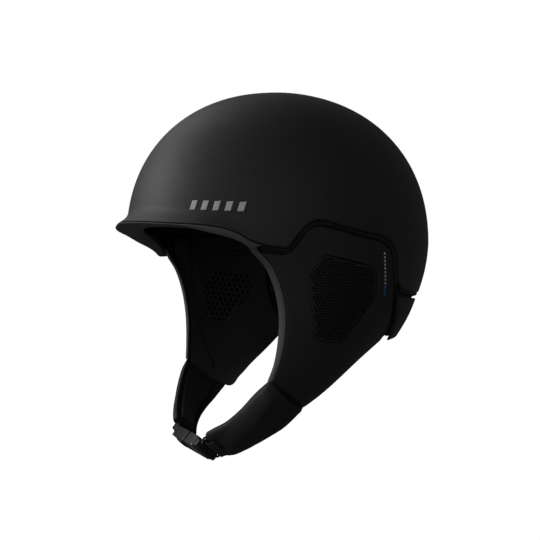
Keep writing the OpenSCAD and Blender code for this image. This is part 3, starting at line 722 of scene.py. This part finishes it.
shell("crown", crown_point, 400, 84, 0, SKIN_T, "crown", r=1.3, r_in=0.5, wrap=True,
      node="crown_shell", uv=polar_uv)


def lining_depth(u, v):
    """Shallow sewn channels, front to back and round the crown."""
    p = lining_point(u, v, np.full(u.shape, WALL_T))
    x, z = np.abs(p[..., 0]), p[..., 2]
    dip = np.zeros(u.shape)
    for at in (14.0, 44.0):
        dip = np.maximum(dip, hump(x, at, 1.3) * ease((z - 24) / 8))
    dip = np.maximum(dip, hump(z, 24, 1.3))
    return WALL_T - 1.0 * dip


shell("crown_lining_cloth", lining_point, 240, 60, LINING_D, lining_depth, "lining", r=0.5, r_in=0.5,
      wrap=True, node="crown_lining", uv=polar_uv)


def rim_section(k):
    e = spline(CROWN_EDGE, np.array(abs(k) / (len(CROWN_EDGE) - 1)))
    th, z = e
    f, s = float(lip(th, 0)), -1 if k < 0 else 1
    low = mix(1.4, 5.0, float(ease((th - 28) / 18))) - 1.2 * float(ease((th - 53) / 4))
    low *= 1 - 0.75 * float(ease((abs(k) - 7.2) / 0.8))
    into = mix(WALL_T, 7.0, float(ease((th - 38) / 18)))
    q = np.array([[0.3 - f, z - 0.5], [-f, z - 0.5 - low / 3], [1.0 - f, z - low],
                  [into - 1.3, z - low], [into, z - low + 0.8], [into, z + 1.6], [FOAM_D, z + 1.6],
                  [FOAM_D, z - 0.5]])
    return dome(th, q[:, 1], q[:, 0]) * [s, 1, 1]


sweep("rim_trim", [rim_section(k) for k in np.linspace(-8.0, 8.0, 204)], "edge", bevel=0.7,
      node="brim_edge")


def patch_point(u, v, d):
    narrow = 1 - 0.22 * v
    return dome(180 + (u - 0.5) * 44 * narrow, mix(-6, -35, v), d)


shell("rear_rubber", patch_point, 50, 34, -1.1, -0.1, "rubber", r=0.9, r_in=0.0, size=(85, 30),
      node="rear_patch")


def bar_piece(k):
    def at(u, v, d):
        th, z = 33 + 4.2 * k + 2.1 * u + 0.9 * (1 - v), mix(24.6, 18.6, v) - 0.6 * k
        up = z - spline(CROWN_EDGE, np.interp(th, [q[0] for q in CROWN_EDGE[:11]],
                                              np.arange(11) / (len(CROWN_EDGE) - 1)))[..., 1]
        return dome(th, z, d - lip(th, up))
    return shell(f"badge_bar_{k + 1}", at, 14, 14, -0.35, 0.3, "ink", r=0.3, r_in=0, size=(5, 7.6))


badge = [bar_piece(k) for k in range(BADGE_BARS)]
for bar in badge:
    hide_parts("front_badge")

# ---- Side panels -----------------------------------------------------------


def panel_point(u, v, d):
    return side(coons(PANEL_TOP, PANEL_LOW, PANEL_FRONT, PANEL_REAR, u, v), d)


def membrane_point(u, v, d):
    """Acoustic cloth stretched behind the grille."""
    return side(np.stack([mix(-39, 19, u), mix(-9, -74, v)], -1), d)


def foam_point(u, v, d):
    return side(coons(FOAM_TOP, FOAM_LOW, FOAM_FRONT, FOAM_REAR, u, v), d)


POCKET = [(-27.5, -97), (-34.4, -72), (-39.4, -46), (-42, -17), (-42, 10)]
RIDGE = [(-30, -109), (-17, -103), (-11, -98.5), (12, -81), (40, -60)]


def cheek_depth(u, v):
    """The lining's inner face: a sunken middle, a seam down its front and a padded lower ridge."""
    q = coons(FOAM_TOP, FOAM_LOW, FOAM_FRONT, FOAM_REAR, u, v)
    y, z = q[..., 0], q[..., 1]
    inner = y - np.interp(z, [p[1] for p in POCKET], [p[0] for p in POCKET])
    above = 0.8 * (z - np.interp(y, [p[0] for p in RIDGE], [p[1] for p in RIDGE]))
    sunk = ease((inner + 1.2) / 2.4) * ease((above + 1) / 3)
    groove = hump(inner, 0.2, 0.8) * ease((above + 1) / 3)
    ridge = hump(above, -0.8, 3.2) * ease((inner + 1.2) / 2.4)
    relief = 1.3 - 1.3 * sunk - 0.45 * groove + 1.5 * ridge
    return WALL_T + relief / thin(y, z)


def face_section(t):
    p = spline(FACE_LINE, np.array(max(t, 0.0))) + min(t, 0.0) * np.array([50.0, -85.0])
    q = np.array([[0.2, 0.9], [2.2, 0], [WALL_T - 1.8, 0], [WALL_T, 0.8], [WALL_T, EDGE_T],
                  [0.2, EDGE_T]])
    return side(np.stack([p[0] + q[:, 1], np.full(6, p[1])], -1), q[:, 0])


def seam_strip(u, v, d):
    s = (7.6 + 13.4 * u) / (len(CROWN_EDGE) - 1)
    e = spline(CROWN_EDGE, s)
    top = dome(e[..., 0], e[..., 1], d)
    low = side(spline(PANEL_TOP + [PANEL_REAR[1], PANEL_REAR[2]], u), d - 0.7)
    t = mix(0.13, 0.90, v)[..., None]
    bulge = (0.5 * np.sin(np.pi * v))[..., None] * [1, 0, 0]
    return mix(top, low, t) + bulge


def rib_rings(z, half):
    ys = np.linspace(-27, 29, 40)
    rings = []
    for y in ys:
        s = min(1.0, math.sqrt(max(0.02, 1 - max(0, abs(y - 1) - 24) ** 2 / 16.5)))
        a = np.linspace(0, 2 * np.pi, 16, endpoint=False)
        zz = z - 1.5 + half * s * np.cos(a)
        dd = WALL_T - 0.2 + 1.3 * (1 + np.sin(a)) * s
        rings.append(side(np.stack([np.full(16, y), zz], -1), dd))
    return rings


for name, m in (("left", False), ("right", True)):
    panel = shell(f"{name}_panel", panel_point, 170, 120, 0, SKIN_T, "side", r=1.2, r_in=0.4,
                  size=(105, 105), mirror=m, node=f"{name}_side_panel")
    cut(panel, rounded_outline(grow(WINDOW, WINDOW_GAP), 4.0, 7), 60, 130, mirror=m)
    perforated(f"{name}_perforated_insert", grow(WINDOW, 0.25), GRILLE_PITCH, GRILLE_HOLE,
               GRILLE_MARGIN, (-8, -40), -6.8, side, 0.55, 1.9, "grille", round_r=3.6, mirror=m,
               node=f"{name}_ear_grille")
    sweep(f"{name}_face_trim", [face_section(t) for t in np.linspace(-0.1, 1, 98)], "edge", mirror=m,
          bevel=0.8, node=f"{name}_face_edge")
    lining = shell(f"{name}_cheek_cloth", foam_point, 130, 130, LINING_D, cheek_depth, "lining",
                   r=0.5, r_in=1.0, size=(95, 110), mirror=m, node=f"{name}_cheek_lining")
    cut(lining, rounded_outline(grow(EAR_FIELD, 1.35), 5, 7), 55, 130, mirror=m)
    perforated(f"{name}_ear_foam", grow(EAR_FIELD, 1.3), EAR_PITCH, EAR_HOLE, EAR_MARGIN, (-3, -38), -8,
               side, WALL_T - 0.02, LINING_D - 4.4, "ear", round_r=5, mirror=m, node=f"{name}_ear_pad")
    shell(f"{name}_ear_membrane", membrane_point, 24, 24, 3.5, 4.2, "membrane", r=0.2, r_in=0.2,
          size=(60, 64), mirror=m)
    shell(f"{name}_seam_cloth", seam_strip, 200, 8, 0.5, 1.9, "band", r=0.7, r_in=0,
          size=(150, 5), mirror=m, node=f"{name}_seam_band")
    ribs = [sweep(f"{name}_temple_rib_{k + 1}", rib_rings(z, 1.5), "lining", mirror=m)
            for k, z in enumerate((-2.4, -7))]
    for rib in ribs:
        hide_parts(f"{name}_temple_pad")

for k in range(SIDE_DASHES):
    along = k / (SIDE_DASHES - 1)
    yz0 = np.array([mix(22.8, 24.8, along), mix(-11, -39, along)])

    def dash(u, v, d, yz0=yz0):
        q = np.stack([yz0[0] - 0.8 + 1.5 * u + 0.25 * v, yz0[1] - 1.5 * v], -1)
        return side(q, d)

    piece = shell(f"side_dash_{k + 1}", dash, 8, 8, -0.25, 0.2, "ink" if k < GREY_DASHES else "blue", r=0.2,
                  r_in=0, size=(1.5, 1.5))
    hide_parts("left_side_mark")

# ---- Nape ------------------------------------------------------------------


def nape_point(u, v, d):
    half = np.abs(2 * u - 1)
    top, low = -47.4 + 5.6 * half**2.2, -77 + 2 * half
    z, th = mix(top, low, v), mix(180, mix(111.4, 121.1, v), half)
    return sided(dome(th, z, d - 3.4 * v - 1.2 * v**2 - 2.4 * v**5), u >= 0.5)


shell("nape_shell", nape_point, 160, 46, 0, SKIN_T, "nape", r=1.3, r_in=0.5, size=(160, 31),
      node="nape_panel", body="nape")


def nape_pad_point(u, v, d):
    return nape_point(mix(0.03, 0.97, u), mix(0.04, 0.94, v), d)


def nape_pad_depth(u, v):
    crown = np.sin(np.pi * np.clip(v, 0, 1)) ** 0.6
    ribs = sum(hump(v, c, 0.03) for c in (0.33, 0.66))
    return WALL_T - 1.6 + 2.4 * crown - 0.9 * ribs


nape_pad = shell("nape_cushion", nape_pad_point, 110, 40, FOAM_D, nape_pad_depth, "lining", r=1.0,
                 r_in=2.2, size=(150, 28), node="nape_pad", body="nape")


def turn_of(p):
    """Angle of each point from the front, in degrees."""
    return np.degrees(np.arctan2(p[:, 0], -p[:, 1]))


def nearer_than(p, depth):
    """True for the points that lie further in than the given depth of the dome."""
    surface = dome(turn_of(p), p[:, 2], depth)
    return np.linalg.norm(p[:, :2], axis=1) < np.linalg.norm(surface[:, :2], axis=1)


def nape_seams(p):
    face = nearer_than(p, (FOAM_D + WALL_T) / 2 - 1.5)
    return 0.9 * face * sum(hump(p[:, 2], at, 0.8) for at in (-56.5, -65))


puffed(nape_pad, nape_seams, back_of_head=True)


def rear_band_point(u, v, d):
    half = np.abs(2 * u - 1)
    e = spline(CROWN_EDGE, mix(24, 21.4, half) / 24)
    z = e[..., 1] + mix(3.0, -8.0, v)
    tuck = 2.8 * (1 - ease((v - 0.18) / 0.1)) + 2.8 * ease((v - 0.46) / 0.09)
    p = dome(e[..., 0], z, d + tuck - 0.4 * np.sin(np.pi * np.clip((v - 0.28) / 0.2, 0, 1)))
    return sided(p, u < 0.5)


shell("rear_seam_cloth", rear_band_point, 150, 40, 0.9, 2.2, "band", r=0.2, r_in=0.2,
      size=(160, 11), node="rear_seam_band")


def gusset_point(u, v, d):
    """Stretch cloth that joins the back of the cheek to the nape, inside the rear seam."""
    z = mix(-2, -75.2, v)
    rear = mix(27, 38, ease((-20 - z) / 50))
    return side(np.stack([mix(rear, rear + 27, u), z], -1), 0) - d[..., None] * [1, 0, 0]


def temple_point(u, v, d):
    """Cloth behind the corner where the rim, the face trim and the side panel meet."""
    z = mix(3, -22, v)
    front = np.interp(z, [-31, -19, -9.9, 3], [-52.5, -57.5, -64.5, -72]) + 0.9
    return side(np.stack([mix(front, -48, u), z], -1), d / thin(front, z))


for name, m in (("left", False), ("right", True)):
    shell(f"{name}_rear_gusset", gusset_point, 30, 60, 4.4, 6.2, "band", r=0.3, r_in=0.3,
          size=(30, 75), mirror=m)
    shell(f"{name}_temple_gusset", temple_point, 24, 30, 4.2, 5.4, "band", r=0.3, r_in=0.3,
          size=(20, 28), mirror=m)


def brow_point(u, v, d):
    return dome(mix(-38, 38, u), mix(46, 21, v), d)


def brow_depth(u, v):
    seams = sum(hump(u, c, 0.012) for c in (0.25, 0.5, 0.75))
    return WALL_T + 2.6 + 4.4 * plump(u, v, 0.35) - 1.3 * seams


brow = shell("brow_cushion", brow_point, 90, 40, WALL_T + 0.3, brow_depth, "lining", r=1.0, r_in=1.6,
             size=(125, 27), node="front_pad")


def brow_seams(p):
    face = nearer_than(p, WALL_T + 3)
    return 1.3 * face * sum(hump(turn_of(p), at, 0.8) for at in (-19, 0, 19))


puffed(brow, brow_seams)

# ---- Chin strap ------------------------------------------------------------

STRAP_FRONT = [[67.9, -53.2, -95.6], [61.5, -59.8, -103.6], [54.2, -66.8, -114.2],
               [45, -73.2, -123.4], [35, -78.3, -129.4], [26, -81.7, -134.4], [18, -84.4, -137.4]]
STRAP_REAR = [[58.6, -22.6, -119.6], [56.6, -33.8, -129], [52.6, -43.6, -135.2],
              [46.4, -52.4, -141.2], [37.2, -59.6, -146.6], [27.2, -64.4, -151.2], [18, -67.2, -154]]
STRAP_BOW, SLEEVE_FROM, SLEEVE_TO, SLEEVE_T = 7.0, 0.01, 0.8, 7.6
WEB_W, WEB_T, LOOP_GAP, KEEPER_AT, COIL_X = 15.0, 1.4, 0.15, 0.885, -15.5


def unit(v):
    return v / np.linalg.norm(v, axis=-1, keepdims=True)


def strap_at(t):
    t = np.asarray(t, float)
    a, b = spline(STRAP_FRONT, t), spline(STRAP_REAR, t)
    a1, b1 = spline(STRAP_FRONT, t + 0.02), spline(STRAP_REAR, t + 0.02)
    a0, b0 = spline(STRAP_FRONT, t - 0.02), spline(STRAP_REAR, t - 0.02)
    w, along = unit(a - b), unit(a1 + b1 - a0 - b0)
    return (a + b) / 2, w, unit(np.cross(along, w)), np.linalg.norm(a - b, axis=-1) / 2


def sleeve_ring(t, steps=48):
    """Cross-section of the sleeve: a flat padded band with a bead along its front edge."""
    mid, w, n, hw = strap_at(t)
    a = np.linspace(0, 2 * np.pi, steps, endpoint=False)
    c, q = np.cos(a), np.sin(a)
    ends = min(1.0, 0.55 + 0.45 * math.sqrt(max(0, 1 - max(0, (t - 0.765) / 0.035) ** 2)))
    x = (hw - 1.6 * (1 - ends)) * np.sign(c) * np.abs(c) ** 0.62
    y = SLEEVE_T / 2 * ends * np.sign(q) * np.abs(q) ** 0.72
    seam = np.where(x > 0, x - (hw - 3.8), -x - (hw - mix(6.6, 3.4, t)))
    inner = (q > 0) * hump(seam, 0, 1.0)
    crease = np.clip(1 - np.abs(x / hw - mix(0.95, -0.55, t / 0.72)) / 0.9, 0, 1)
    fold = 3.4 * float(ease(t / 0.12) * ease((SLEEVE_TO - t) / 0.16))
    y = y - 1.3 * inner * ends - fold * crease * (q < 0)
    bow = STRAP_BOW * (1 - t) ** 2 * (1 - (x / hw) ** 2)
    return mid + w * x[:, None] + n * (y - bow)[:, None]


def sleeve_rings():
    """The sleeve's rings, with its top end tucked in under the side panel's lower edge."""
    rings = [sleeve_ring(t) for t in np.linspace(SLEEVE_FROM, SLEEVE_TO, 110)]
    mid, w, n, _ = strap_at(SLEEVE_FROM)
    back_off = unit(np.cross(w, n))
    back_off *= np.sign(back_off[2])
    flat = rings[0] - n * (((rings[0] - mid) @ n) * 0.45)[:, None]
    return [flat + back_off * 3.2, rings[0] + back_off * 0.9] + rings


def strap_point(t, x, d):
    """Point on the strap at t, x across towards the front edge and d inwards from its middle."""
    mid, w, n, hw = strap_at(t)
    bow = STRAP_BOW * (1 - t) ** 2 * (1 - (x / hw) ** 2)
    return mid + w * x[..., None] + n * (d - bow)[..., None]


def strap_pad_point(u, v, d):
    t = mix(0.07, 0.745, u)
    hw = strap_at(t)[3]
    return strap_point(t, mix(hw - 5.2, mix(8, 4.8, t) - hw, v), d)


def strap_pad_depth(u, v):
    return SLEEVE_T / 2 + 0.5 + 1.1 * plump(u, v, 0.3)


def flat_section(half, thick):
    """Cross-section of a band with round edges: offsets across it and through it."""
    a = np.radians(np.concatenate([np.linspace(-90, 90, 7), np.linspace(90, 270, 7)]))
    across = np.repeat([1, -1], 7) * (half - thick / 2) + thick / 2 * np.cos(a)
    return across, thick / 2 * np.sin(a)


def band_rings(t0, t1, count, half, thick, lift_of):
    rings = []
    for t in np.linspace(t0, t1, count):
        mid, w, n, _ = strap_at(t)
        x, through = flat_section(half, thick)
        lift = lift_of(t) + STRAP_BOW * (1 - t) ** 2
        rings.append(mid - n * lift + w * x[:, None] + n * through[:, None])
    return rings


# ---- Buckle ----------------------------------------------------------------

BUCKLE_AT, BUCKLE_LEAN = np.array([0, -76.8, -147.0]), math.radians(136)
BUCKLE_W, BUCKLE_T = 19.0, 8.0
TONGUE_L, TONGUE_W, TONGUE_T, TONGUE_BODY = 6.0, 12.0, 3.2, 15.5
SOCKET_L, JOINT_GAP, SLOT_CLEAR = 22.0, 0.6, 0.8
BAR_R, CHEEK_T, CHEEK_L = 1.7, 1.6, 5.8
SOCKET_BAR, TONGUE_BAR = -2.37, 0.52


def in_buckle(p):
    """From the buckle's own directions (across, towards the front, outwards) to the helmet's."""
    p = np.asarray(p, float)
    c, s = math.cos(BUCKLE_LEAN), math.sin(BUCKLE_LEAN)
    y, z = p[..., 1] * c - p[..., 2] * s, p[..., 1] * s + p[..., 2] * c
    return np.stack([p[..., 0], y, z], -1) + BUCKLE_AT


def prism(name, outline, z0, z1, mat="buckle", axis="z", **more):
    """Solid with the given outline between two heights, in the buckle's directions."""
    rows = [[(x, y, z) if axis == "z" else (x, z, y) for x, y in outline] for z in (z0, z1)]
    verts = in_buckle(np.array(rows).reshape(-1, 3))
    flat = np.concatenate([np.asarray(outline, float)] * 2)
    return make(name, verts, prism_faces(len(outline)), mat, uv=flat, **more)


def slab(x, y, r=0.0):
    points = [(x[0], y[0]), (x[1], y[0]), (x[1], y[1]), (x[0], y[1])]
    return rounded_outline(points, r, 8) if r else np.array(points, float)


def disc(cx, cz, r, steps=40):
    a = np.linspace(0, 2 * np.pi, steps, endpoint=False)
    return np.stack([cx + r * np.cos(a), cz + r * np.sin(a)], -1)


def tool_prism(outline, z0, z1, axis="z"):
    return prism("tool", outline, z0, z1, axis=axis, body=None)


def half_buckle(name, x0, x1, r, cuts, extra, bar_x, bar_z, way, mat, body, node):
    """One half of the buckle: body, cuts, extra solids, and two cheeks with the webbing's bar."""
    out = x1 if way > 0 else x0
    half = BUCKLE_W / 2
    body_obj = prism(name, slab((x0, x1), (-half, half), r), -BUCKLE_T / 2, BUCKLE_T / 2, mat,
                     body=body, node=node)
    joined = list(extra)
    for y0 in (-half, half - CHEEK_T):
        cheek = rounded_outline([(out - 1.5 * way, bar_z - 2.6), (out + CHEEK_L * way, bar_z - 2.6),
                                 (out + CHEEK_L * way, bar_z + 2.6), (out - 1.5 * way, bar_z + 2.6)],
                                2.2, 7)
        joined.append(tool_prism(cheek, y0, y0 + CHEEK_T, axis="y"))
    joined.append(tool_prism(disc(bar_x, bar_z, BAR_R), 0.4 - half, half - 0.4, axis="y"))
    boolean(body_obj, joined, "UNION")
    boolean(body_obj, cuts)
    return bevelled(body_obj, 0.45, 3, 40)


tongue_bar_x = TONGUE_BODY + CHEEK_L - BAR_R - 0.2
socket_bar_x = -(SOCKET_L + CHEEK_L - BAR_R - 0.2)
BUTTON_X, BUTTON_Y, BUTTON_Z, POCKET_Z, FIT = (-20, -11), (-4.8, 4.8), (1.4, 4.7), -2.2, 0.3

blade = tool_prism(slab((-TONGUE_L, JOINT_GAP + 3), (-TONGUE_W / 2, TONGUE_W / 2), 1.6),
                   -TONGUE_T / 2, TONGUE_T / 2)
grips = [tool_prism(slab((x, x + 0.9), (-BUCKLE_W / 2 - 1, BUCKLE_W / 2 + 1)), BUCKLE_T / 2 - 0.5,
                    BUCKLE_T / 2 + 1) for x in (9.5, 11.7)]
# The tongue half uses the tongue material, whose lighter base colour is a painted highlight.
half_buckle("tongue_half", JOINT_GAP, TONGUE_BODY, 2.4,
            grips + [tool_prism(slab((-5.3, -2.3), (-4.1, 4.1)), -0.9, 0.9)], [blade],
            tongue_bar_x, TONGUE_BAR, 1, "tongue", "left_strap", "buckle_tongue")
half_buckle("socket_half", -SOCKET_L, 0, 2.4,
            [tool_prism(slab((-TONGUE_L - 1.2, 1), (-TONGUE_W / 2 - SLOT_CLEAR,
                                                    TONGUE_W / 2 + SLOT_CLEAR)),
                        -TONGUE_T / 2 - SLOT_CLEAR, TONGUE_T / 2 + SLOT_CLEAR),
             tool_prism(slab((BUTTON_X[0] - FIT, BUTTON_X[1] + FIT),
                             (BUTTON_Y[0] - FIT, BUTTON_Y[1] + FIT), 1.2), POCKET_Z, BUCKLE_T)],
            [], socket_bar_x, SOCKET_BAR, -1, "buckle", "right_strap", "buckle_socket")

button = prism("button_cap", slab(BUTTON_X, BUTTON_Y, 1.1), BUTTON_Z[0], BUTTON_Z[1], "button",
               body="release", node="release_button")
boolean(button, [tool_prism(slab((-15.5 + 2.4 * k - 0.5, -15.5 + 2.4 * k + 0.5), (-3.6, 3.6), 0.45),
                            BUTTON_Z[1] - 0.5, BUTTON_Z[1] + 0.4) for k in (-1, 0, 1)], "UNION")
bevelled(button, 0.25, 2, 40)

for name, x, y, z, body in (("tongue", (-5.2, -2.4), (-4, 4), (-0.8, 0.8), "left_strap"),
                            ("socket", (-9.8, -7.8), (-4.5, 4.5), (-1.9, 1.9), "right_strap")):
    bevelled(prism(f"{name}_magnet_block", slab(x, y, 0.3), z[0], z[1], "magnet", body=body,
                   node=f"{name}_magnet"), 0.15, 2, 40)


def coil_rings(turns=3.5, wire=0.3, coil_r=2.4, steps=110):
    z0, z1 = POCKET_Z + wire + 0.05, BUTTON_Z[0] - wire - 0.05
    b = np.linspace(0, 2 * np.pi, 10, endpoint=False)
    rings = []
    for t in np.linspace(0, 1, steps):
        a, q = 2 * np.pi * turns * t, coil_r + wire * np.cos(b)
        rings.append(in_buckle(np.stack([COIL_X + q * math.cos(a), q * math.sin(a),
                                         mix(z0, z1, t) + wire * np.sin(b)], -1)))
    return rings


coil = sweep("button_coil", coil_rings(), "wire", body="right_strap", node="button_spring")
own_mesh(coil)


def loop_rings(cx, cz, start, turn, steps=44):
    """Rings of a webbing loop round the bar at (cx, cz)."""
    rings = []
    for a in np.radians(np.linspace(start, start + turn, steps)):
        mid, out = np.array([cx, 0, cz]), np.array([math.cos(a), 0, math.sin(a)])
        y, through = flat_section(WEB_W / 2, WEB_T)
        r = BAR_R + LOOP_GAP + WEB_T / 2 + through
        rings.append(in_buckle(mid + out * r[:, None] + np.array([0, 1, 0]) * y[:, None]))
    return rings


# ---- Straps on both sides --------------------------------------------------


for name, m, body, web_to, bar_x, bar_z in (
        ("left", False, "left_strap", 0.962, tongue_bar_x, TONGUE_BAR),
        ("right", True, "right_strap", 0.853, -socket_bar_x, SOCKET_BAR)):
    sleeve = sweep(f"{name}_padded_sleeve", sleeve_rings(), "sleeve", mirror=m, body=None,
                   node=f"{name}_strap_sleeve", angle=50)
    pad = shell(f"{name}_strap_pad", strap_pad_point, 90, 26, SLEEVE_T / 2 - 1.0, strap_pad_depth,
                "sleeve_lining", r=0, r_in=0.9, size=(70, 22), mirror=m, body=None,
                node=f"{name}_strap_lining")
    for piece in (sleeve, pad):
        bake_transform(piece)
    sweep(f"{name}_web", band_rings(0.3, web_to, 60, WEB_W / 2, WEB_T, lambda t: 0), "webbing",
          mirror=m, node=f"{name}_webbing", body=body)
    loop = sweep(f"{name}_web_loop", loop_rings(bar_x, bar_z, -150, 300), "webbing", mirror=m,
                 body=body)
    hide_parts(f"{name}_webbing")

sweep("web_tail", band_rings(0.7, 0.92, 40, WEB_W / 2, WEB_T,
                             lambda t: mix(5.2, 1.9, float(ease((t - SLEEVE_TO) / 0.075)))),
      "webbing", node="strap_tail", body="left_strap")


def keeper_rings(thick=1.3):
    """Rubber loop round the webbing and its spare end."""
    mid, w, n, _ = strap_at(KEEPER_AT)
    along = unit(np.cross(w, n))
    centre = mid - n * (STRAP_BOW * (1 - KEEPER_AT) ** 2 + 1.15)
    half = WEB_W / 2 + 0.3 + thick / 2
    flat = rounded_outline([(half, -2.9), (half, 2.9), (-half, 2.9), (-half, -2.9)], 1.6, 12)
    rings = []
    for k in range(len(flat)):
        p, before, after = flat[k], flat[k - 1], flat[(k + 1) % len(flat)]
        tangent = (after - before) / np.linalg.norm(after - before)
        out = np.array([tangent[1], -tangent[0]])
        a = np.linspace(0, 2 * np.pi, 12, endpoint=False)
        q = p + out * (thick / 2 * np.cos(a))[:, None]
        rings.append(centre + w * q[:, :1] + n * q[:, 1:] + along * (1.3 * np.sin(a))[:, None])
    return rings


def hoop(name, rings, mat, **more):
    """Closed ring-shaped piece through rings of points."""
    rings = np.asarray(rings, float)
    r, c = rings.shape[:2]
    uvs = np.stack(np.meshgrid(np.arange(r) * 0.6, np.arange(c) * 0.5, indexing="ij"), -1)
    return make(name, rings.reshape(-1, 3), ring_faces(r, r, c), mat, uv=uvs.reshape(-1, 2), **more)


hoop("keeper_loop", keeper_rings(), "rubber", node="tail_keeper", body="keeper", slot="rubber_patch")

# ---- Hidden foam and the CAD nodes that stay -------------------------------

for node in ("shock_liner", "rear_liner", "left_cheek_foam", "right_cheek_foam"):
    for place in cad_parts[node].material_slots:
        place.material = M["foam"]

# ---- Floor, light and camera -----------------------------------------------

# Each light's place, what it points at, its side in metres and its power in watts
LIGHTS = {"key": ((-0.85, -1.6, 0.85), (0, 0, -0.02), 1.1, 29),
          "top": ((-1.2, -0.5, 1.6), (0, 0, 0), 1.2, 8),
          "front": ((0.7, -1.8, -0.15), (0, 0, -0.04), 0.8, 5),
          "fill": ((1.7, -0.7, 0.6), (0, 0, -0.02), 1.4, 4.6)}
CAMERA_AT, CAMERA_AHEAD = (0.4299, -0.2646, -0.0212), (-0.8599, 0.5105, 0.0)
CAMERA_ROLL, LENS, SENSOR = -1.3, 42.27, 36.0
FLOOR_GAP, FLOOR_SIZE, EVEN_LIGHT = 0.001, 40, 0.08

def stage_floor():
    mesh = bpy.data.meshes.new("floor")
    bm = bmesh.new()
    bmesh.ops.create_grid(bm, x_segments=2, y_segments=2, size=FLOOR_SIZE)
    bm.to_mesh(mesh)
    bm.free()
    obj = bpy.data.objects.new("floor", mesh)
    obj.location.z = cad_box[0][2] - FLOOR_GAP
    mat, _, bsdf = nodes_of("floor_pale", (0.1, 0.1, 0.1), 0.9)
    bsdf.inputs["Emission Color"].default_value = (1, 1, 1, 1)
    bsdf.inputs["Emission Strength"].default_value = 1.0
    obj.visible_diffuse = obj.visible_glossy = False
    mesh.materials.append(mat)
    bpy.context.scene.collection.objects.link(obj)


def area_light(name, at, towards, size, power):
    light = bpy.data.lights.new(name, "AREA")
    light.shape = "RECTANGLE"
    light.size = light.size_y = size
    light.energy = power
    obj = bpy.data.objects.new(name, light)
    obj.location = at
    obj.rotation_euler = (Vector(towards) - Vector(at)).to_track_quat("-Z", "Y").to_euler()
    bpy.context.scene.collection.objects.link(obj)


def camera():
    cam = bpy.data.cameras.new("camera")
    cam.lens, cam.sensor_width = LENS, SENSOR
    obj = bpy.data.objects.new("camera", cam)
    ahead = Vector(CAMERA_AHEAD).normalized()
    right = ahead.cross(Vector((0, 0, 1))).normalized()
    up = right.cross(ahead)
    roll = math.radians(CAMERA_ROLL)
    r2 = right * math.cos(roll) + up * math.sin(roll)
    u2 = up * math.cos(roll) - right * math.sin(roll)
    rows = [(r2[k], u2[k], -ahead[k], CAMERA_AT[k]) for k in range(3)]
    obj.matrix_world = Matrix(rows + [(0, 0, 0, 1)])
    bpy.context.scene.collection.objects.link(obj)
    bpy.context.scene.camera = obj


stage_floor()
camera()
for name, (at, towards, size, power) in LIGHTS.items():
    area_light(name, at, towards, size, power)


def studio_world():
    """White where the camera sees it, and a weak even light on the object."""
    world = bpy.data.worlds.new("studio")
    world.use_nodes = True
    bpy.context.scene.world = world
    tree = world.node_tree
    seen = tree.nodes["Background"]
    seen.inputs["Color"].default_value = (1, 1, 1, 1)
    seen.inputs["Strength"].default_value = 1.0
    glow = add(tree, "ShaderNodeBackground", Color=(1, 1, 1, 1), Strength=EVEN_LIGHT)
    path, pick = tree.nodes.new("ShaderNodeLightPath"), tree.nodes.new("ShaderNodeMixShader")
    tree.links.new(path.outputs["Is Camera Ray"], pick.inputs["Fac"])
    tree.links.new(glow.outputs[0], pick.inputs[1])
    tree.links.new(seen.outputs[0], pick.inputs[2])
    tree.links.new(pick.outputs[0], tree.nodes["World Output"].inputs["Surface"])


studio_world()
bpy.context.scene.view_settings.view_transform = "Standard"
